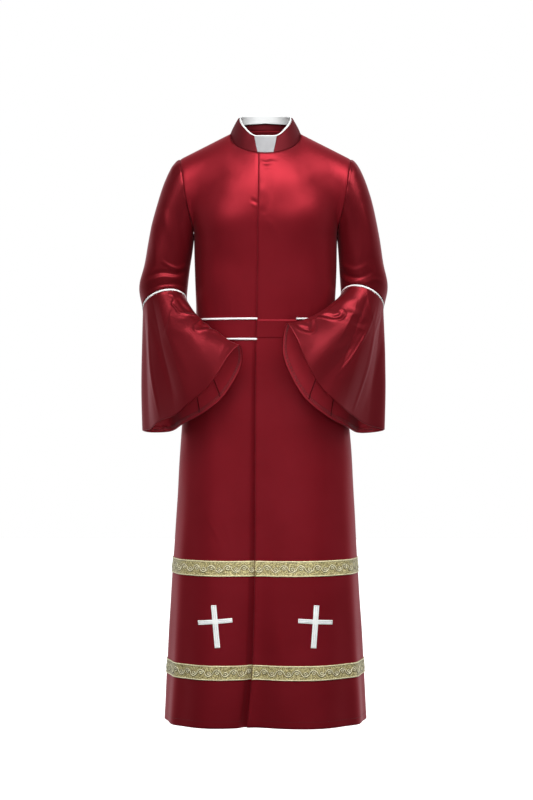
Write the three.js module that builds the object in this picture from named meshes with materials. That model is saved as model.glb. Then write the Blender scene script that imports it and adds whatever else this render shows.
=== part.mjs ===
// A clergy robe: full length, closed at the front by a concealed placket, with a stand collar over a
// white band, a piped waist belt, trumpet sleeves, two brocade bands round the skirt and two crosses.
//
// Millimetres, +Z up. The front faces -Y and the wearer's left is +X. The origin is the centre of the
// base of the neck, where the wearer's shoulders hold the robe up. Every piece of cloth is a wall over
// a grid of points: an outer face, and an inner face moved in along the normals.

import * as THREE from 'three';

// ---- Cloth and seams ----

const CLOTH = 2; // satin wall with its turned edges
const LAID_CLOTH = 1; // brocade, applique and white band
const SEAM = 0.3; // gap kept between neighbouring pieces
const PIPING_RADIUS = 2.3;
const PIPING_SIDES = 6;

const SATIN = { color: 0x7d1a26, roughness: 0.38 };
const WHITE = { color: 0xe2e4e2, roughness: 0.7 };
const GOLD = { color: 0xb09a5c, roughness: 0.5, metalness: 0.35 };

// ---- Body: sections from the chest, just under the armholes, to the hem ----

const CHEST_Z = -215;
const HEM_Z = -1368;
const BODY = [
  { z: -215, halfWidth: 171, front: 126, back: 116, square: 0.07 },
  { z: -320, halfWidth: 169, front: 120, back: 106, square: 0.06 },
  { z: -415, halfWidth: 166, front: 115, back: 99, square: 0.05 },
  { z: -470, halfWidth: 169, front: 116, back: 104, square: 0.05 },
  { z: -560, halfWidth: 188, front: 122, back: 121, square: 0.05 },
  { z: -700, halfWidth: 203, front: 133, back: 136, square: 0.06 },
  { z: -857, halfWidth: 212, front: 144, back: 146, square: 0.06 },
  { z: -1087, halfWidth: 227, front: 158, back: 163, square: 0.06 },
  { z: -1368, halfWidth: 243, front: 172, back: 183, square: 0.06 },
];
const ROW_HEIGHTS = [
  -265, -340, -416, -464, -515, -575, -650, -735, -820, -905, -982, -1018, -1090, -1160, -1224, -1258,
  -1315, HEM_Z,
];
const YOKE_ROWS = 6;
const NECK_COLUMNS = 8; // columns of a front from its opening edge to the side of the neck
const SHOULDER_COLUMNS = 7; // and from there to the side seam
const FRONT_COLUMNS = NECK_COLUMNS + SHOULDER_COLUMNS;
const BACK_NECK_COLUMNS = 14; // columns of the back between the two sides of the neck
const BACK_COLUMNS = BACK_NECK_COLUMNS + 2 * SHOULDER_COLUMNS;

// Standing folds of the skirt: the angle from the centre front in degrees (positive to the wearer's
// left), half the width in degrees, the height at the hem, and the height at which the fold begins.
const SKIRT_FOLDS = [
  { angle: -6, width: 11, height: -24, start: -500 },
  { angle: -34, width: 15, height: 13, start: -560 },
  { angle: 28, width: 15, height: 14, start: -560 },
  { angle: -56, width: 6, height: 9, start: -620 },
  { angle: 57, width: 6, height: 8, start: -640 },
  { angle: -73, width: 8, height: -9, start: -640 },
  { angle: 74, width: 8, height: -8, start: -620 },
  { angle: 104, width: 9, height: -9, start: -700 },
  { angle: 122, width: 9, height: 13, start: -620 },
  { angle: 140, width: 8, height: -11, start: -660 },
  { angle: 157, width: 10, height: 15, start: -560 },
  { angle: 177, width: 9, height: -14, start: -600 },
  { angle: 196, width: 10, height: 14, start: -580 },
  { angle: 215, width: 8, height: -12, start: -700 },
  { angle: 234, width: 9, height: 12, start: -640 },
  { angle: 254, width: 9, height: -10, start: -680 },
];

// Neckline and shoulders, above the chest section
const NECK = { halfWidth: 84, front: 86, back: 64, sideZ: 31, frontDrop: 55, backRise: 17 };
const NECK_SHARE = 0.5; // share of a panel's top edge that is neckline, the rest is shoulder seam
const SHOULDER_TIP = { x: 205, z: -30 };
const SHOULDER_ROUNDING = 215; // how far the cloth runs level over the shoulder before it turns down
const ARMHOLE = [
  { z: -30, x: 205 },
  { z: -53, x: 201 },
  { z: -106, x: 193 },
  { z: -156, x: 183 },
  { z: -189, x: 174 },
  { z: CHEST_Z, x: 171 },
];
const ARMHOLE_FRONT = 56;
const ARMHOLE_BACK = 60;

// Front opening: where the overlapping edge of the wearer's left front lies
const OPENING = [
  { z: 0, x: -15, recess: 3.2 },
  { z: -175, x: -17, recess: 3.2 },
  { z: -415, x: -20, recess: 3.4 },
  { z: -600, x: -23, recess: 6 },
  { z: -980, x: -25, recess: 8 },
  { z: -1230, x: -32, recess: 9 },
  { z: HEM_Z, x: -45, recess: 10 },
];
const RECESS_WIDTH = 26; // how far beside the edge the under front sinks back
const UNDERLAP = 44; // how far the under front runs on beneath the edge
const UNDERLAP_COLUMNS = 2;

// ---- Collar, its white band and its tab ----

const COLLAR_TOP = { halfWidth: 65.5, front: 69, back: 63 };
const COLLAR_TOP_EDGE = [
  { angle: 0, z: 17 },
  { angle: 27, z: 20 },
  { angle: 55, z: 42 },
  { angle: 90, z: 68 },
  { angle: 180, z: 81 },
];
const COLLAR_GAP = { base: 13, top: 24 }; // half the front gap, in degrees
const COLLAR_COLUMNS = 26;
const BAND_COLUMNS = 28;
const BAND_INSET = 3.5;
const BAND_SPAN = { from: 0.5, to: 1.1 }; // heights on the collar, 0 at its base and 1 at its edge

// ---- Belt, trims and crosses ----

const BELT = { top: -419, bottom: -461, topPiping: -416, bottomPiping: -464 };
const BELT_TAB_END = 72; // the belt's plain end covers the piping as far as this
const TRIMS = [
  { name: 'trim_upper', top: -982, bottom: -1018 },
  { name: 'trim_lower', top: -1224, bottom: -1258 },
];
const CROSS = { height: 102, span: 82, upright: 12.4, arm: 10.4, armBelowTop: 38, lift: 0.9 };
const CROSSES = [
  { name: 'cross_right', panel: 'front_right', x: -120.7, z: -1081, lean: 5.3 },
  { name: 'cross_left', panel: 'front_left', x: 118.9, z: -1081, lean: -4.2 },
];

// ---- Sleeves ----

const SLEEVE_ROWS = 8;
const SLEEVE_COLUMNS = 20;
const ARMHOLE_GAP = 0.45;
const ELBOW_BULGE = { height: 8, at: 0.86, width: 0.09 };
const ELBOW_SPEED = 204; // mm of sleeve for each unit of its length, at the elbow on its inner side
const BELL_SPEED = 260; // the same at the top of the bell
const BELL_ROWS = 9;
const BELL_COLUMNS_PER_STATION = 2;

// Each sleeve: its elbow ring, and its open rim as stations from the wrist, down the front edge to the
// fold at the lower corner, round the hem under the elbow and back up the edge beside the body. `ring`
// is the angle on the elbow ring (0 outside, 90 front, 180 inside) that the station hangs from.
// `sag` and `out` move the middle of the cloth between them down, and away from the body, in mm.
const SLEEVES = [
  {
    name: 'right',
    side: -1,
    elbow: { x: 241.5, y: -5, z: -378.5, halfWidth: 52.5, halfDepth: 60, outerDrop: 10.5, frontRise: 31.5 },
    rim: [
      { ring: 128, x: 60, y: -185, z: -479, sag: 40, out: 4 },
      { ring: 114, x: 85, y: -200, z: -503, sag: 28, out: 8 },
      { ring: 100, x: 107, y: -210, z: -540, sag: 16, out: 8 },
      { ring: 86, x: 135, y: -212, z: -579, sag: 8, out: 8 },
      { ring: 70, x: 176, y: -200, z: -613, sag: 0, out: 8 },
      { ring: 55, x: 207, y: -178, z: -639, sag: 0, out: -4 },
      { ring: 38, x: 250, y: -135, z: -655, sag: 0, out: 12 },
      { ring: 20, x: 272, y: -88, z: -674, sag: 0, out: 0 },
      { ring: 2, x: 293, y: -42, z: -679, sag: 0, out: 6 },
      { ring: -32, x: 275, y: 8, z: -684, sag: 0, out: 8 },
      { ring: -70, x: 230, y: 4, z: -682, sag: 0, out: 6 },
      { ring: -104, x: 190, y: -78, z: -661, sag: 0, out: 14 },
      { ring: -136, x: 134, y: -130, z: -631, sag: 0, out: 26 },
      { ring: -166, x: 92, y: -148, z: -592, sag: 6, out: 30 },
      { ring: -200, x: 54, y: -160, z: -520, sag: 20, out: 24 },
    ],
  },
  {
    name: 'left',
    side: 1,
    elbow: { x: 232, y: -5, z: -370, halfWidth: 51, halfDepth: 60, outerDrop: 14, frontRise: 32 },
    rim: [
      { ring: 128, x: 50, y: -180, z: -430, sag: 36, out: 6 },
      { ring: 114, x: 74, y: -199, z: -466, sag: 28, out: 8 },
      { ring: 100, x: 92, y: -210, z: -512, sag: 16, out: 8 },
      { ring: 86, x: 120, y: -213, z: -560, sag: 8, out: 8 },
      { ring: 70, x: 153, y: -201, z: -600, sag: 0, out: -2 },
      { ring: 55, x: 178, y: -178, z: -622, sag: 0, out: 8 },
      { ring: 38, x: 203, y: -138, z: -641, sag: 0, out: 12 },
      { ring: 20, x: 240, y: -88, z: -664, sag: 0, out: 0 },
      { ring: 2, x: 283, y: -42, z: -676, sag: 0, out: 6 },
      { ring: -32, x: 266, y: 8, z: -683, sag: 0, out: 8 },
      { ring: -70, x: 226, y: 6, z: -685, sag: 0, out: 6 },
      { ring: -104, x: 187, y: -80, z: -668, sag: 0, out: 14 },
      { ring: -136, x: 134, y: -128, z: -639, sag: 0, out: 28 },
      { ring: -166, x: 86, y: -148, z: -596, sag: 6, out: 34 },
      { ring: -200, x: 40, y: -160, z: -500, sag: 20, out: 32 },
    ],
  },
];

// ---- Small maths ----

const vector = (x, y, z) => new THREE.Vector3(x, y, z);
const radians = THREE.MathUtils.degToRad;
const { clamp, lerp } = THREE.MathUtils;
const bump = (x) => Math.exp(-x * x);

// Reads every column of a table at one value of its key column, on a smooth curve through the rows.
function readTable(rows, key, value) {
  const last = rows.length - 1;
  const rising = rows[last][key] > rows[0][key];
  const isPast = (row) => (rising ? value > row[key] : value < row[key]);
  let i = 0;
  while (i < last - 1 && isPast(rows[i + 1])) i += 1;
  const [before, after] = [rows[Math.max(i - 1, 0)], rows[Math.min(i + 2, last)]];
  const [from, to] = [rows[i], rows[i + 1]];
  const step = to[key] - from[key];
  const t = clamp((value - from[key]) / step, 0, 1);
  const read = {};
  for (const column of Object.keys(from)) {
    const startSlope = ((to[column] - before[column]) / (to[key] - before[key])) * step;
    const endSlope = ((after[column] - from[column]) / (after[key] - from[key])) * step;
    read[column] = hermite(from[column], startSlope, to[column], endSlope, t);
  }
  return read;
}

function hermite(start, startSlope, end, endSlope, t) {
  const s = 1 - t;
  const values = start * s * s * (1 + 2 * t) + end * t * t * (3 - 2 * t);
  return values + startSlope * s * s * t - endSlope * t * t * s;
}

function hermitePoint(start, startSlope, end, endSlope, t) {
  const along = (axis) => hermite(start[axis], startSlope[axis], end[axis], endSlope[axis], t);
  return vector(along('x'), along('y'), along('z'));
}

// The outward normal of a surface, from small steps along its column and its row.
const STEP = 1e-3;
function normalOf(surface, column, row, centre, limits) {
  const { columns, rows } = limits;
  const alongColumn = surface(Math.min(column + STEP, columns[1]), row);
  alongColumn.sub(surface(Math.max(column - STEP, columns[0]), row));
  const alongRow = surface(column, Math.min(row + STEP, rows[1]));
  alongRow.sub(surface(column, Math.max(row - STEP, rows[0])));
  const normal = alongColumn.cross(alongRow).normalize();
  const outward = surface(column, row).sub(centre);
  return normal.dot(outward) < 0 ? normal.negate() : normal;
}

// ---- Walls and cords ----

// One closed wall over a grid of points and normals. Its outer face lies `lift` outside the points and
// its inner face `thick` further in. `round` joins the last column to the first, and `has` says which
// cells of the grid are there.
function wall(grid, lift, thick, round = false, has = () => true) {
  const rows = grid.points.length;
  const columns = grid.points[0].length;
  const positions = [];
  for (const height of [lift, lift - thick]) {
    grid.points.forEach((line, r) => line.forEach((point, c) => {
      positions.push(...point.clone().addScaledVector(grid.normals[r][c], height).toArray());
    }));
  }
  const id = (r, c, layer) => layer * rows * columns + r * columns + (c % columns);
  const isCell = (r, c) => {
    if (r < 0 || r >= rows - 1) return false;
    if (!round && (c < 0 || c >= columns - 1)) return false;
    return has(r, c);
  };
  const index = [];
  const quad = (a, b, c, d) => index.push(a, b, c, a, c, d);
  for (let r = 0; r < rows - 1; r += 1) {
    for (let c = 0; c < columns - (round ? 0 : 1); c += 1) {
      if (!isCell(r, c)) continue;
      const corners = [[r, c], [r + 1, c], [r + 1, c + 1], [r, c + 1]];
      const neighbours = [[r, c - 1], [r + 1, c], [r, c + 1], [r - 1, c]];
      const outer = corners.map(([i, j]) => id(i, j, 0));
      const inner = corners.map(([i, j]) => id(i, j, 1));
      quad(...outer);
      quad(inner[0], inner[3], inner[2], inner[1]);
      for (let k = 0; k < 4; k += 1) {
        const next = (k + 1) % 4;
        if (!isCell(...neighbours[k])) quad(outer[next], outer[k], inner[k], inner[next]);
      }
    }
  }
  return closedBody(positions, index);
}

// A cord of round section along a path, with a normal at each point. `round` closes it on itself.
function cord(path, normals, radius, round = false) {
  const count = path.length;
  const positions = [];
  path.forEach((point, i) => {
    const ahead = path[round ? (i + 1) % count : Math.min(i + 1, count - 1)];
    const behind = path[round ? (i + count - 1) % count : Math.max(i - 1, 0)];
    const across = ahead.clone().sub(behind).cross(normals[i]).normalize();
    const up = across.clone().cross(ahead.clone().sub(behind)).normalize();
    for (let k = 0; k < PIPING_SIDES; k += 1) {
      const turn = (2 * Math.PI * (k + 0.5)) / PIPING_SIDES;
      const spoke = up.clone().multiplyScalar(Math.cos(turn)).addScaledVector(across, Math.sin(turn));
      positions.push(...spoke.multiplyScalar(radius).add(point).toArray());
    }
  });
  const id = (i, k) => (i % count) * PIPING_SIDES + (k % PIPING_SIDES);
  const index = [];
  for (let i = 0; i < count - (round ? 0 : 1); i += 1) {
    for (let k = 0; k < PIPING_SIDES; k += 1) {
      index.push(id(i, k), id(i + 1, k), id(i + 1, k + 1), id(i, k), id(i + 1, k + 1), id(i, k + 1));
    }
  }
  if (!round) {
    for (let k = 1; k < PIPING_SIDES - 1; k += 1) {
      index.push(id(0, 0), id(0, k), id(0, k + 1));
      index.push(id(count - 1, 0), id(count - 1, k + 1), id(count - 1, k));
    }
  }
  return closedBody(positions, index);
}

// A geometry from a closed set of faces, turned so that they all face out.
function closedBody(positions, index) {
  const corner = (i) => vector(...positions.slice(3 * i, 3 * i + 3));
  let volume = 0;
  for (let i = 0; i < index.length; i += 3) {
    const [a, b, c] = index.slice(i, i + 3).map(corner);
    volume += a.dot(b.cross(c));
  }
  if (volume < 0) index.reverse();
  const geometry = new THREE.BufferGeometry();
  geometry.setAttribute('position', new THREE.Float32BufferAttribute(positions, 3));
  geometry.setIndex(index);
  geometry.computeVertexNormals();
  return geometry;
}

function mesh(name, geometry, finish) {
  const made = new THREE.Mesh(geometry, new THREE.MeshStandardMaterial(finish));
  made.name = name;
  return made;
}

// ---- Body surface ----
// A point of it has a reach, 0 at the centre and 1 or -1 at the side, and a level: 0 at the neckline
// and shoulder seam, 1 at the chest section, and one more for each LEVEL_DROP below that.

const LEVEL_DROP = 100;
const levelOf = (z) => 1 + (CHEST_Z - z) / LEVEL_DROP;
const heightOf = (level) => CHEST_Z - (level - 1) * LEVEL_DROP;
const BODY_LIMITS = { columns: [-1, 1], rows: [0, levelOf(HEM_Z)] };

function foldHeight(angle, z) {
  let height = 0;
  for (const fold of SKIRT_FOLDS) {
    const growth = clamp((fold.start - z) / (fold.start - HEM_Z), 0, 1) ** 1.2;
    const away = ((((angle - fold.angle) % 360) + 540) % 360) - 180;
    height += fold.height * growth * bump(away / fold.width);
  }
  return height;
}

// A point of the horizontal section at z, at an angle from the centre front.
function sectionPoint(angle, z) {
  const at = readTable(BODY, 'z', z);
  const [sine, cosine] = [Math.sin(radians(angle)), Math.cos(radians(angle))];
  const depth = cosine > 0 ? at.front : at.back;
  const swell = 1 + at.square * Math.sin(radians(2 * angle)) ** 2;
  const outward = vector(sine / at.halfWidth, -cosine / depth, 0).normalize();
  const point = vector(at.halfWidth * sine * swell, -depth * cosine * swell, z);
  return point.addScaledVector(outward, foldHeight(angle, z));
}

// The neckline at an angle from the centre front.
function necklinePoint(angle) {
  const [sine, cosine] = [Math.sin(radians(angle)), Math.cos(radians(angle))];
  const isFront = cosine > 0;
  const depth = isFront ? NECK.front : NECK.back;
  const rise = isFront ? -NECK.frontDrop * cosine ** 0.85 : -NECK.backRise * cosine;
  return vector(NECK.halfWidth * sine, -depth * cosine, NECK.sideZ + rise);
}

// The top edge of a panel: neckline, then shoulder seam.
function topEdgePoint(reach, isBack) {
  const share = Math.abs(reach) / NECK_SHARE;
  if (share <= 1) {
    const angle = 90 * (reach / NECK_SHARE);
    return necklinePoint(isBack ? 180 - angle : angle);
  }
  const along = (Math.abs(reach) - NECK_SHARE) / (1 - NECK_SHARE);
  const x = lerp(NECK.halfWidth, SHOULDER_TIP.x, along) * Math.sign(reach);
  return vector(x, 0, lerp(NECK.sideZ, SHOULDER_TIP.z, along));
}

// The armhole's edge, from the shoulder tip at 0 to the underarm at 1.
function armholePoint(along, side, isBack) {
  const turn = Math.PI * along;
  const z = lerp(SHOULDER_TIP.z, CHEST_Z, (1 - Math.cos(turn)) / 2);
  const y = Math.sin(turn) * (isBack ? ARMHOLE_BACK : -ARMHOLE_FRONT);
  return vector(readTable(ARMHOLE, 'z', z).x * side, y, z);
}

// The chest, back and shoulders: a smooth sheet from the top edge down to the chest section.
function yokePoint(reach, level, isBack) {
  const between = (column) => {
    const angle = isBack ? 180 - 90 * column : 90 * column;
    const chest = sectionPoint(angle, CHEST_Z);
    const fall = sectionPoint(angle, CHEST_Z - 1).sub(chest).multiplyScalar(190);
    const centred = Math.max(Math.cos((Math.PI / 2) * Math.min(Math.abs(column) / NECK_SHARE, 1)), 0);
    const forward = isBack ? 1 - 0.35 * centred : -(1 - 0.55 * centred);
    const start = vector(0, forward, -(isBack ? 0.75 : 0.89) * centred).multiplyScalar(SHOULDER_ROUNDING);
    return hermitePoint(topEdgePoint(column, isBack), start, chest, fall, level);
  };
  const side = Math.sign(reach) || 1;
  const toArmhole = armholePoint(level, side, isBack).sub(between(side));
  return between(reach).addScaledVector(toArmhole, reach ** 4);
}

function bodyPoint(reach, level, isBack) {
  if (level < 1) return yokePoint(reach, level, isBack);
  return sectionPoint(isBack ? 180 - 90 * reach : 90 * reach, heightOf(level));
}

// A grid over the body, one line for each level, with its reaches given by `reachesAt(level)`, and
// `sinkAt(reach, level)` saying how far a point lies inside the surface.
function bodyGrid(reachesAt, isBack, sinkAt = () => 0) {
  const surface = (reach, level) => bodyPoint(reach, level, isBack);
  const top = SEAM / 2 / SHOULDER_ROUNDING;
  const yoke = Array.from({ length: YOKE_ROWS + 1 }, (_, i) => Math.max(i / YOKE_ROWS, top));
  const levels = [...yoke, ...ROW_HEIGHTS.map(levelOf)];
  const grid = { levels, points: [], normals: [] };
  for (const level of levels) {
    const centre = vector(0, 0, Math.min(heightOf(level), -150));
    const reaches = reachesAt(level);
    const normals = reaches.map((reach) => normalOf(surface, reach, level, centre, BODY_LIMITS));
    grid.normals.push(normals);
    grid.points.push(reaches.map((reach, i) => (
      surface(reach, level).addScaledVector(normals[i], -sinkAt(reach, level)))));
  }
  return grid;
}

const range = (first, last) => Array.from({ length: last - first + 1 }, (_, i) => first + i);
const steps = (count, from, to) => Array.from({ length: count + 1 }, (_, i) => lerp(from, to, i / count));

// Reach of a distance from the centre, near the centre front.
const reachPerMm = (level) => 2 / Math.PI / readTable(BODY, 'z', heightOf(Math.max(level, 1))).halfWidth;
const openingAt = (level) => readTable(OPENING, 'z', Math.min(heightOf(level), 0));
const edgeReach = (level) => openingAt(level).x * reachPerMm(level);
const SIDE_REACH = 1 - SEAM / 2 / 275; // a quarter of the girth is about 275 mm

// The reaches of a shoulder's columns, and of those between it and another reach, so that one column
// always ends at the corner between the neckline and the shoulder seam.
const fromLeftShoulder = steps(SHOULDER_COLUMNS, NECK_SHARE, SIDE_REACH).slice(1);
const toRightShoulder = steps(SHOULDER_COLUMNS, -SIDE_REACH, -NECK_SHARE).slice(0, -1);

const backGrid = bodyGrid(
  () => [...toRightShoulder, ...steps(BACK_NECK_COLUMNS, -NECK_SHARE, NECK_SHARE), ...fromLeftShoulder],
  true,
);
const leftGrid = bodyGrid(
  (level) => [...steps(NECK_COLUMNS, edgeReach(level), NECK_SHARE), ...fromLeftShoulder],
  false,
);
const rightGrid = bodyGrid(
  (level) => {
    const edge = edgeReach(level) - SEAM * reachPerMm(level);
    const under = steps(UNDERLAP_COLUMNS, edge, edge + UNDERLAP * reachPerMm(level));
    return [...toRightShoulder, ...steps(NECK_COLUMNS, -NECK_SHARE, edge), ...under.slice(1)];
  },
  false,
  (reach, level) => {
    const beside = (edgeReach(level) - reach) / reachPerMm(level) / RECESS_WIDTH;
    const share = 1 - clamp(beside, 0, 1);
    return openingAt(level).recess * share * share * (3 - 2 * share);
  },
);

// ---- Pieces laid on the body ----

// A point on one column of a grid at any level, on the straight line between its neighbours.
function onColumn(grid, column, level) {
  const { levels, points, normals } = grid;
  const r = clamp(levels.findIndex((value) => value > level) - 1, 0, levels.length - 2);
  const t = (level - levels[r]) / (levels[r + 1] - levels[r]);
  return {
    point: points[r][column].clone().lerp(points[r + 1][column], t),
    normal: normals[r][column].clone().lerp(normals[r + 1][column], t).normalize(),
  };
}

// The part of a grid between two heights and two columns.
function bandGrid(grid, top, bottom, firstColumn, lastColumn) {
  const between = grid.levels.filter((level) => level > levelOf(top) && level < levelOf(bottom));
  const band = { points: [], normals: [] };
  for (const level of [levelOf(top), ...between, levelOf(bottom)]) {
    const line = range(firstColumn, lastColumn).map((c) => onColumn(grid, c, level));
    band.points.push(line.map(({ point }) => point));
    band.normals.push(line.map(({ normal }) => normal));
  }
  return band;
}

function laidBand(grid, top, bottom, firstColumn, lastColumn) {
  return wall(bandGrid(grid, top, bottom, firstColumn, lastColumn), SEAM + LAID_CLOTH, LAID_CLOTH);
}

function laidPiping(grid, z, firstColumn, lastColumn) {
  const line = range(firstColumn, lastColumn).map((c) => onColumn(grid, c, levelOf(z)));
  const path = line.map(({ point, normal }) => point.addScaledVector(normal, SEAM + PIPING_RADIUS));
  const last = path.length - 1;
  path[0].lerp(path[1], SEAM / path[0].distanceTo(path[1]));
  path[last].lerp(path[last - 1], SEAM / path[last].distanceTo(path[last - 1]));
  return cord(path, line.map(({ normal }) => normal), PIPING_RADIUS);
}

// The point of a grid at a given x and z.
function onGrid(grid, x, z) {
  const level = levelOf(z);
  const line = grid.points[0].map((_, column) => onColumn(grid, column, level));
  let c = 0;
  while (c < line.length - 2 && line[c + 1].point.x < x) c += 1;
  const t = (x - line[c].point.x) / (line[c + 1].point.x - line[c].point.x);
  return {
    point: line[c].point.clone().lerp(line[c + 1].point, t),
    normal: line[c].normal.clone().lerp(line[c + 1].normal, t).normalize(),
  };
}

// A cross lying on a panel: a grid of cells of which only those of the upright and the arms are there.
function crossGeometry(grid, { x, z, lean }) {
  const { height, span, upright, arm, armBelowTop, lift } = CROSS;
  const across = [-span / 2, -span / 4, -upright / 2, upright / 2, span / 4, span / 2];
  const armTop = armBelowTop - arm / 2;
  const down = [0, armTop / 2, armTop, armTop + arm, ...steps(3, armTop + arm, height).slice(1)];
  const [sine, cosine] = [Math.sin(radians(lean)), Math.cos(radians(lean))];
  const spot = (u, v) => onGrid(grid, x + u * cosine + v * sine, z + u * sine - v * cosine);
  const spots = down.map((v) => across.map((u) => spot(u, v)));
  const laid = {
    points: spots.map((line) => line.map(({ point }) => point)),
    normals: spots.map((line) => line.map(({ normal }) => normal)),
  };
  const isUpright = (c) => c === 2;
  const isArm = (r) => r === 2;
  return wall(laid, lift + LAID_CLOTH, LAID_CLOTH, false, (r, c) => isUpright(c) || isArm(r));
}

function bodyPieces() {
  const grids = { front_left: leftGrid, front_right: rightGrid, back: backGrid };
  const spans = {
    left: { grid: leftGrid, first: 0, last: FRONT_COLUMNS },
    right: { grid: rightGrid, first: 0, last: FRONT_COLUMNS },
    back: { grid: backGrid, first: 0, last: BACK_COLUMNS },
  };
  const pieces = Object.entries(grids).map(([name, grid]) => mesh(name, wall(grid, 0, CLOTH), SATIN));
  const waist = levelOf(BELT.topPiping);
  for (const [name, { grid, first, last }] of Object.entries(spans)) {
    const belt = name === 'back' ? 'belt_back' : `belt_front_${name}`;
    pieces.push(mesh(belt, laidBand(grid, BELT.top, BELT.bottom, first, last), SATIN));
    let start = first;
    while (name === 'left' && onColumn(grid, start, waist).point.x < BELT_TAB_END) start += 1;
    const topPiping = laidPiping(grid, BELT.topPiping, start, last);
    const bottomPiping = laidPiping(grid, BELT.bottomPiping, start, last);
    pieces.push(mesh(`belt_piping_top_${name}`, topPiping, WHITE));
    pieces.push(mesh(`belt_piping_bottom_${name}`, bottomPiping, WHITE));
    for (const trim of TRIMS) {
      pieces.push(mesh(`${trim.name}_${name}`, laidBand(grid, trim.top, trim.bottom, first, last), GOLD));
    }
  }
  for (const cross of CROSSES) {
    pieces.push(mesh(cross.name, crossGeometry(grids[cross.panel], cross), WHITE));
  }
  return pieces;
}

// ---- Collar ----

// A point of the collar: an angle from the centre front, and a height from 0 at its base to 1 at its edge.
function collarPoint(angle, height) {
  const fold = Math.abs(((((angle % 360) + 540) % 360) - 180));
  const [sine, cosine] = [Math.sin(radians(angle)), Math.cos(radians(angle))];
  const depth = cosine > 0 ? COLLAR_TOP.front : COLLAR_TOP.back;
  const edgeZ = readTable(COLLAR_TOP_EDGE, 'angle', fold).z;
  const edge = vector(COLLAR_TOP.halfWidth * sine, -depth * cosine, edgeZ);
  const base = necklinePoint(angle).add(vector(0, 0, SEAM + 0.2));
  return base.lerp(edge, height);
}

// A grid over the collar: one line for each height, with its angles given by `anglesAt(height)`.
function collarGrid(heights, anglesAt) {
  const limits = { columns: [-360, 720], rows: [-1, 2] };
  const grid = { points: [], normals: [] };
  for (const height of heights) {
    const angles = anglesAt(height);
    grid.points.push(angles.map((angle) => collarPoint(angle, height)));
    grid.normals.push(angles.map((angle) => (
      normalOf(collarPoint, angle, height, vector(0, 0, collarPoint(angle, height).z), limits))));
  }
  return grid;
}

function collarPieces() {
  const gapAt = (height) => lerp(COLLAR_GAP.base, COLLAR_GAP.top, height);
  const clearance = (SEAM / COLLAR_TOP.halfWidth) * (180 / Math.PI);
  const collar = collarGrid([0, 0.5, 1], (height) => (
    steps(COLLAR_COLUMNS, gapAt(height), 360 - gapAt(height))));
  const tab = collarGrid([0.02, 0.5, 1], (height) => {
    const reach = gapAt(height) - clearance;
    return steps(4, -reach, reach);
  });
  const band = collarGrid([BAND_SPAN.from, 1, BAND_SPAN.to], () => (
    steps(BAND_COLUMNS, 0, 360).slice(0, BAND_COLUMNS)));
  return [
    mesh('collar', wall(collar, 0, CLOTH), SATIN),
    mesh('collar_tab', wall(tab, 0, LAID_CLOTH), WHITE),
    mesh('collar_band', wall(band, -BAND_INSET, LAID_CLOTH, true), WHITE),
  ];
}

// ---- Sleeves ----

// The elbow ring, 0 outside, 90 in front, 180 beside the body.
function elbowPoint({ side, elbow }, angle) {
  const [sine, cosine] = [Math.sin(radians(angle)), Math.cos(radians(angle))];
  const x = side * (elbow.x + elbow.halfWidth * cosine);
  const z = elbow.z - elbow.outerDrop * cosine + elbow.frontRise * sine;
  return vector(x, elbow.y - elbow.halfDepth * sine, z);
}

// The upper sleeve: from the armhole, out over the arm and down to the elbow ring.
function upperSleevePoint(sleeve, angle, along) {
  const turn = ((angle % 360) + 360) % 360;
  const isBack = turn > 180;
  const cosine = Math.cos(radians(turn));
  const armhole = armholePoint((isBack ? 360 - turn : turn) / 180, sleeve.side, isBack);
  const start = armhole.add(vector(sleeve.side * ARMHOLE_GAP, 0, -ARMHOLE_GAP / 2));
  const leave = start.clone().add(vector(sleeve.side * (22 + 18 * cosine), 0, -26 + 20 * cosine));
  const end = elbowPoint(sleeve, turn);
  const arrive = end.clone().add(vector(sleeve.side * (3.5 + 8.5 * cosine), 0, 84 + 16 * cosine));
  const point = new THREE.CubicBezierCurve3(start, leave, arrive, end).getPoint(along);
  const bulge = ELBOW_BULGE.height * bump((along - ELBOW_BULGE.at) / ELBOW_BULGE.width);
  point.x += sleeve.side * bulge * Math.max(cosine, 0);
  return point;
}

// The bell: from the elbow ring to the rim. `station` counts round the rim's table.
function bellPoint(sleeve, station, along) {
  const { rim } = sleeve;
  const count = rim.length;
  const turned = ((station % count) + count) % count;
  const from = Math.floor(turned);
  const share = turned - from;
  const start = rim[from];
  const end = from + 1 < count ? rim[from + 1] : { ...rim[0], ring: rim[0].ring - 360 };
  const top = elbowPoint(sleeve, lerp(start.ring, end.ring, share));
  const bottom = sleeve.rimCurve.getPoint(turned / count);
  const middle = top.clone().lerp(bottom, 0.5);
  middle.z -= lerp(start.sag, end.sag, share);
  middle.addScaledVector(middle.clone().setZ(0).normalize(), lerp(start.out, end.out, share));
  return new THREE.QuadraticBezierCurve3(top, middle, bottom).getPoint(along);
}

// A closed grid round a sleeve.
function tubeGrid(surface, columns, rows, centreAt) {
  const limits = { columns: [-Infinity, Infinity], rows: [0, 1] };
  const grid = { points: [], normals: [] };
  for (const row of rows) {
    grid.points.push(columns.map((column) => surface(column, row)));
    grid.normals.push(columns.map((column) => normalOf(surface, column, row, centreAt(row), limits)));
  }
  return grid;
}

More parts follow.
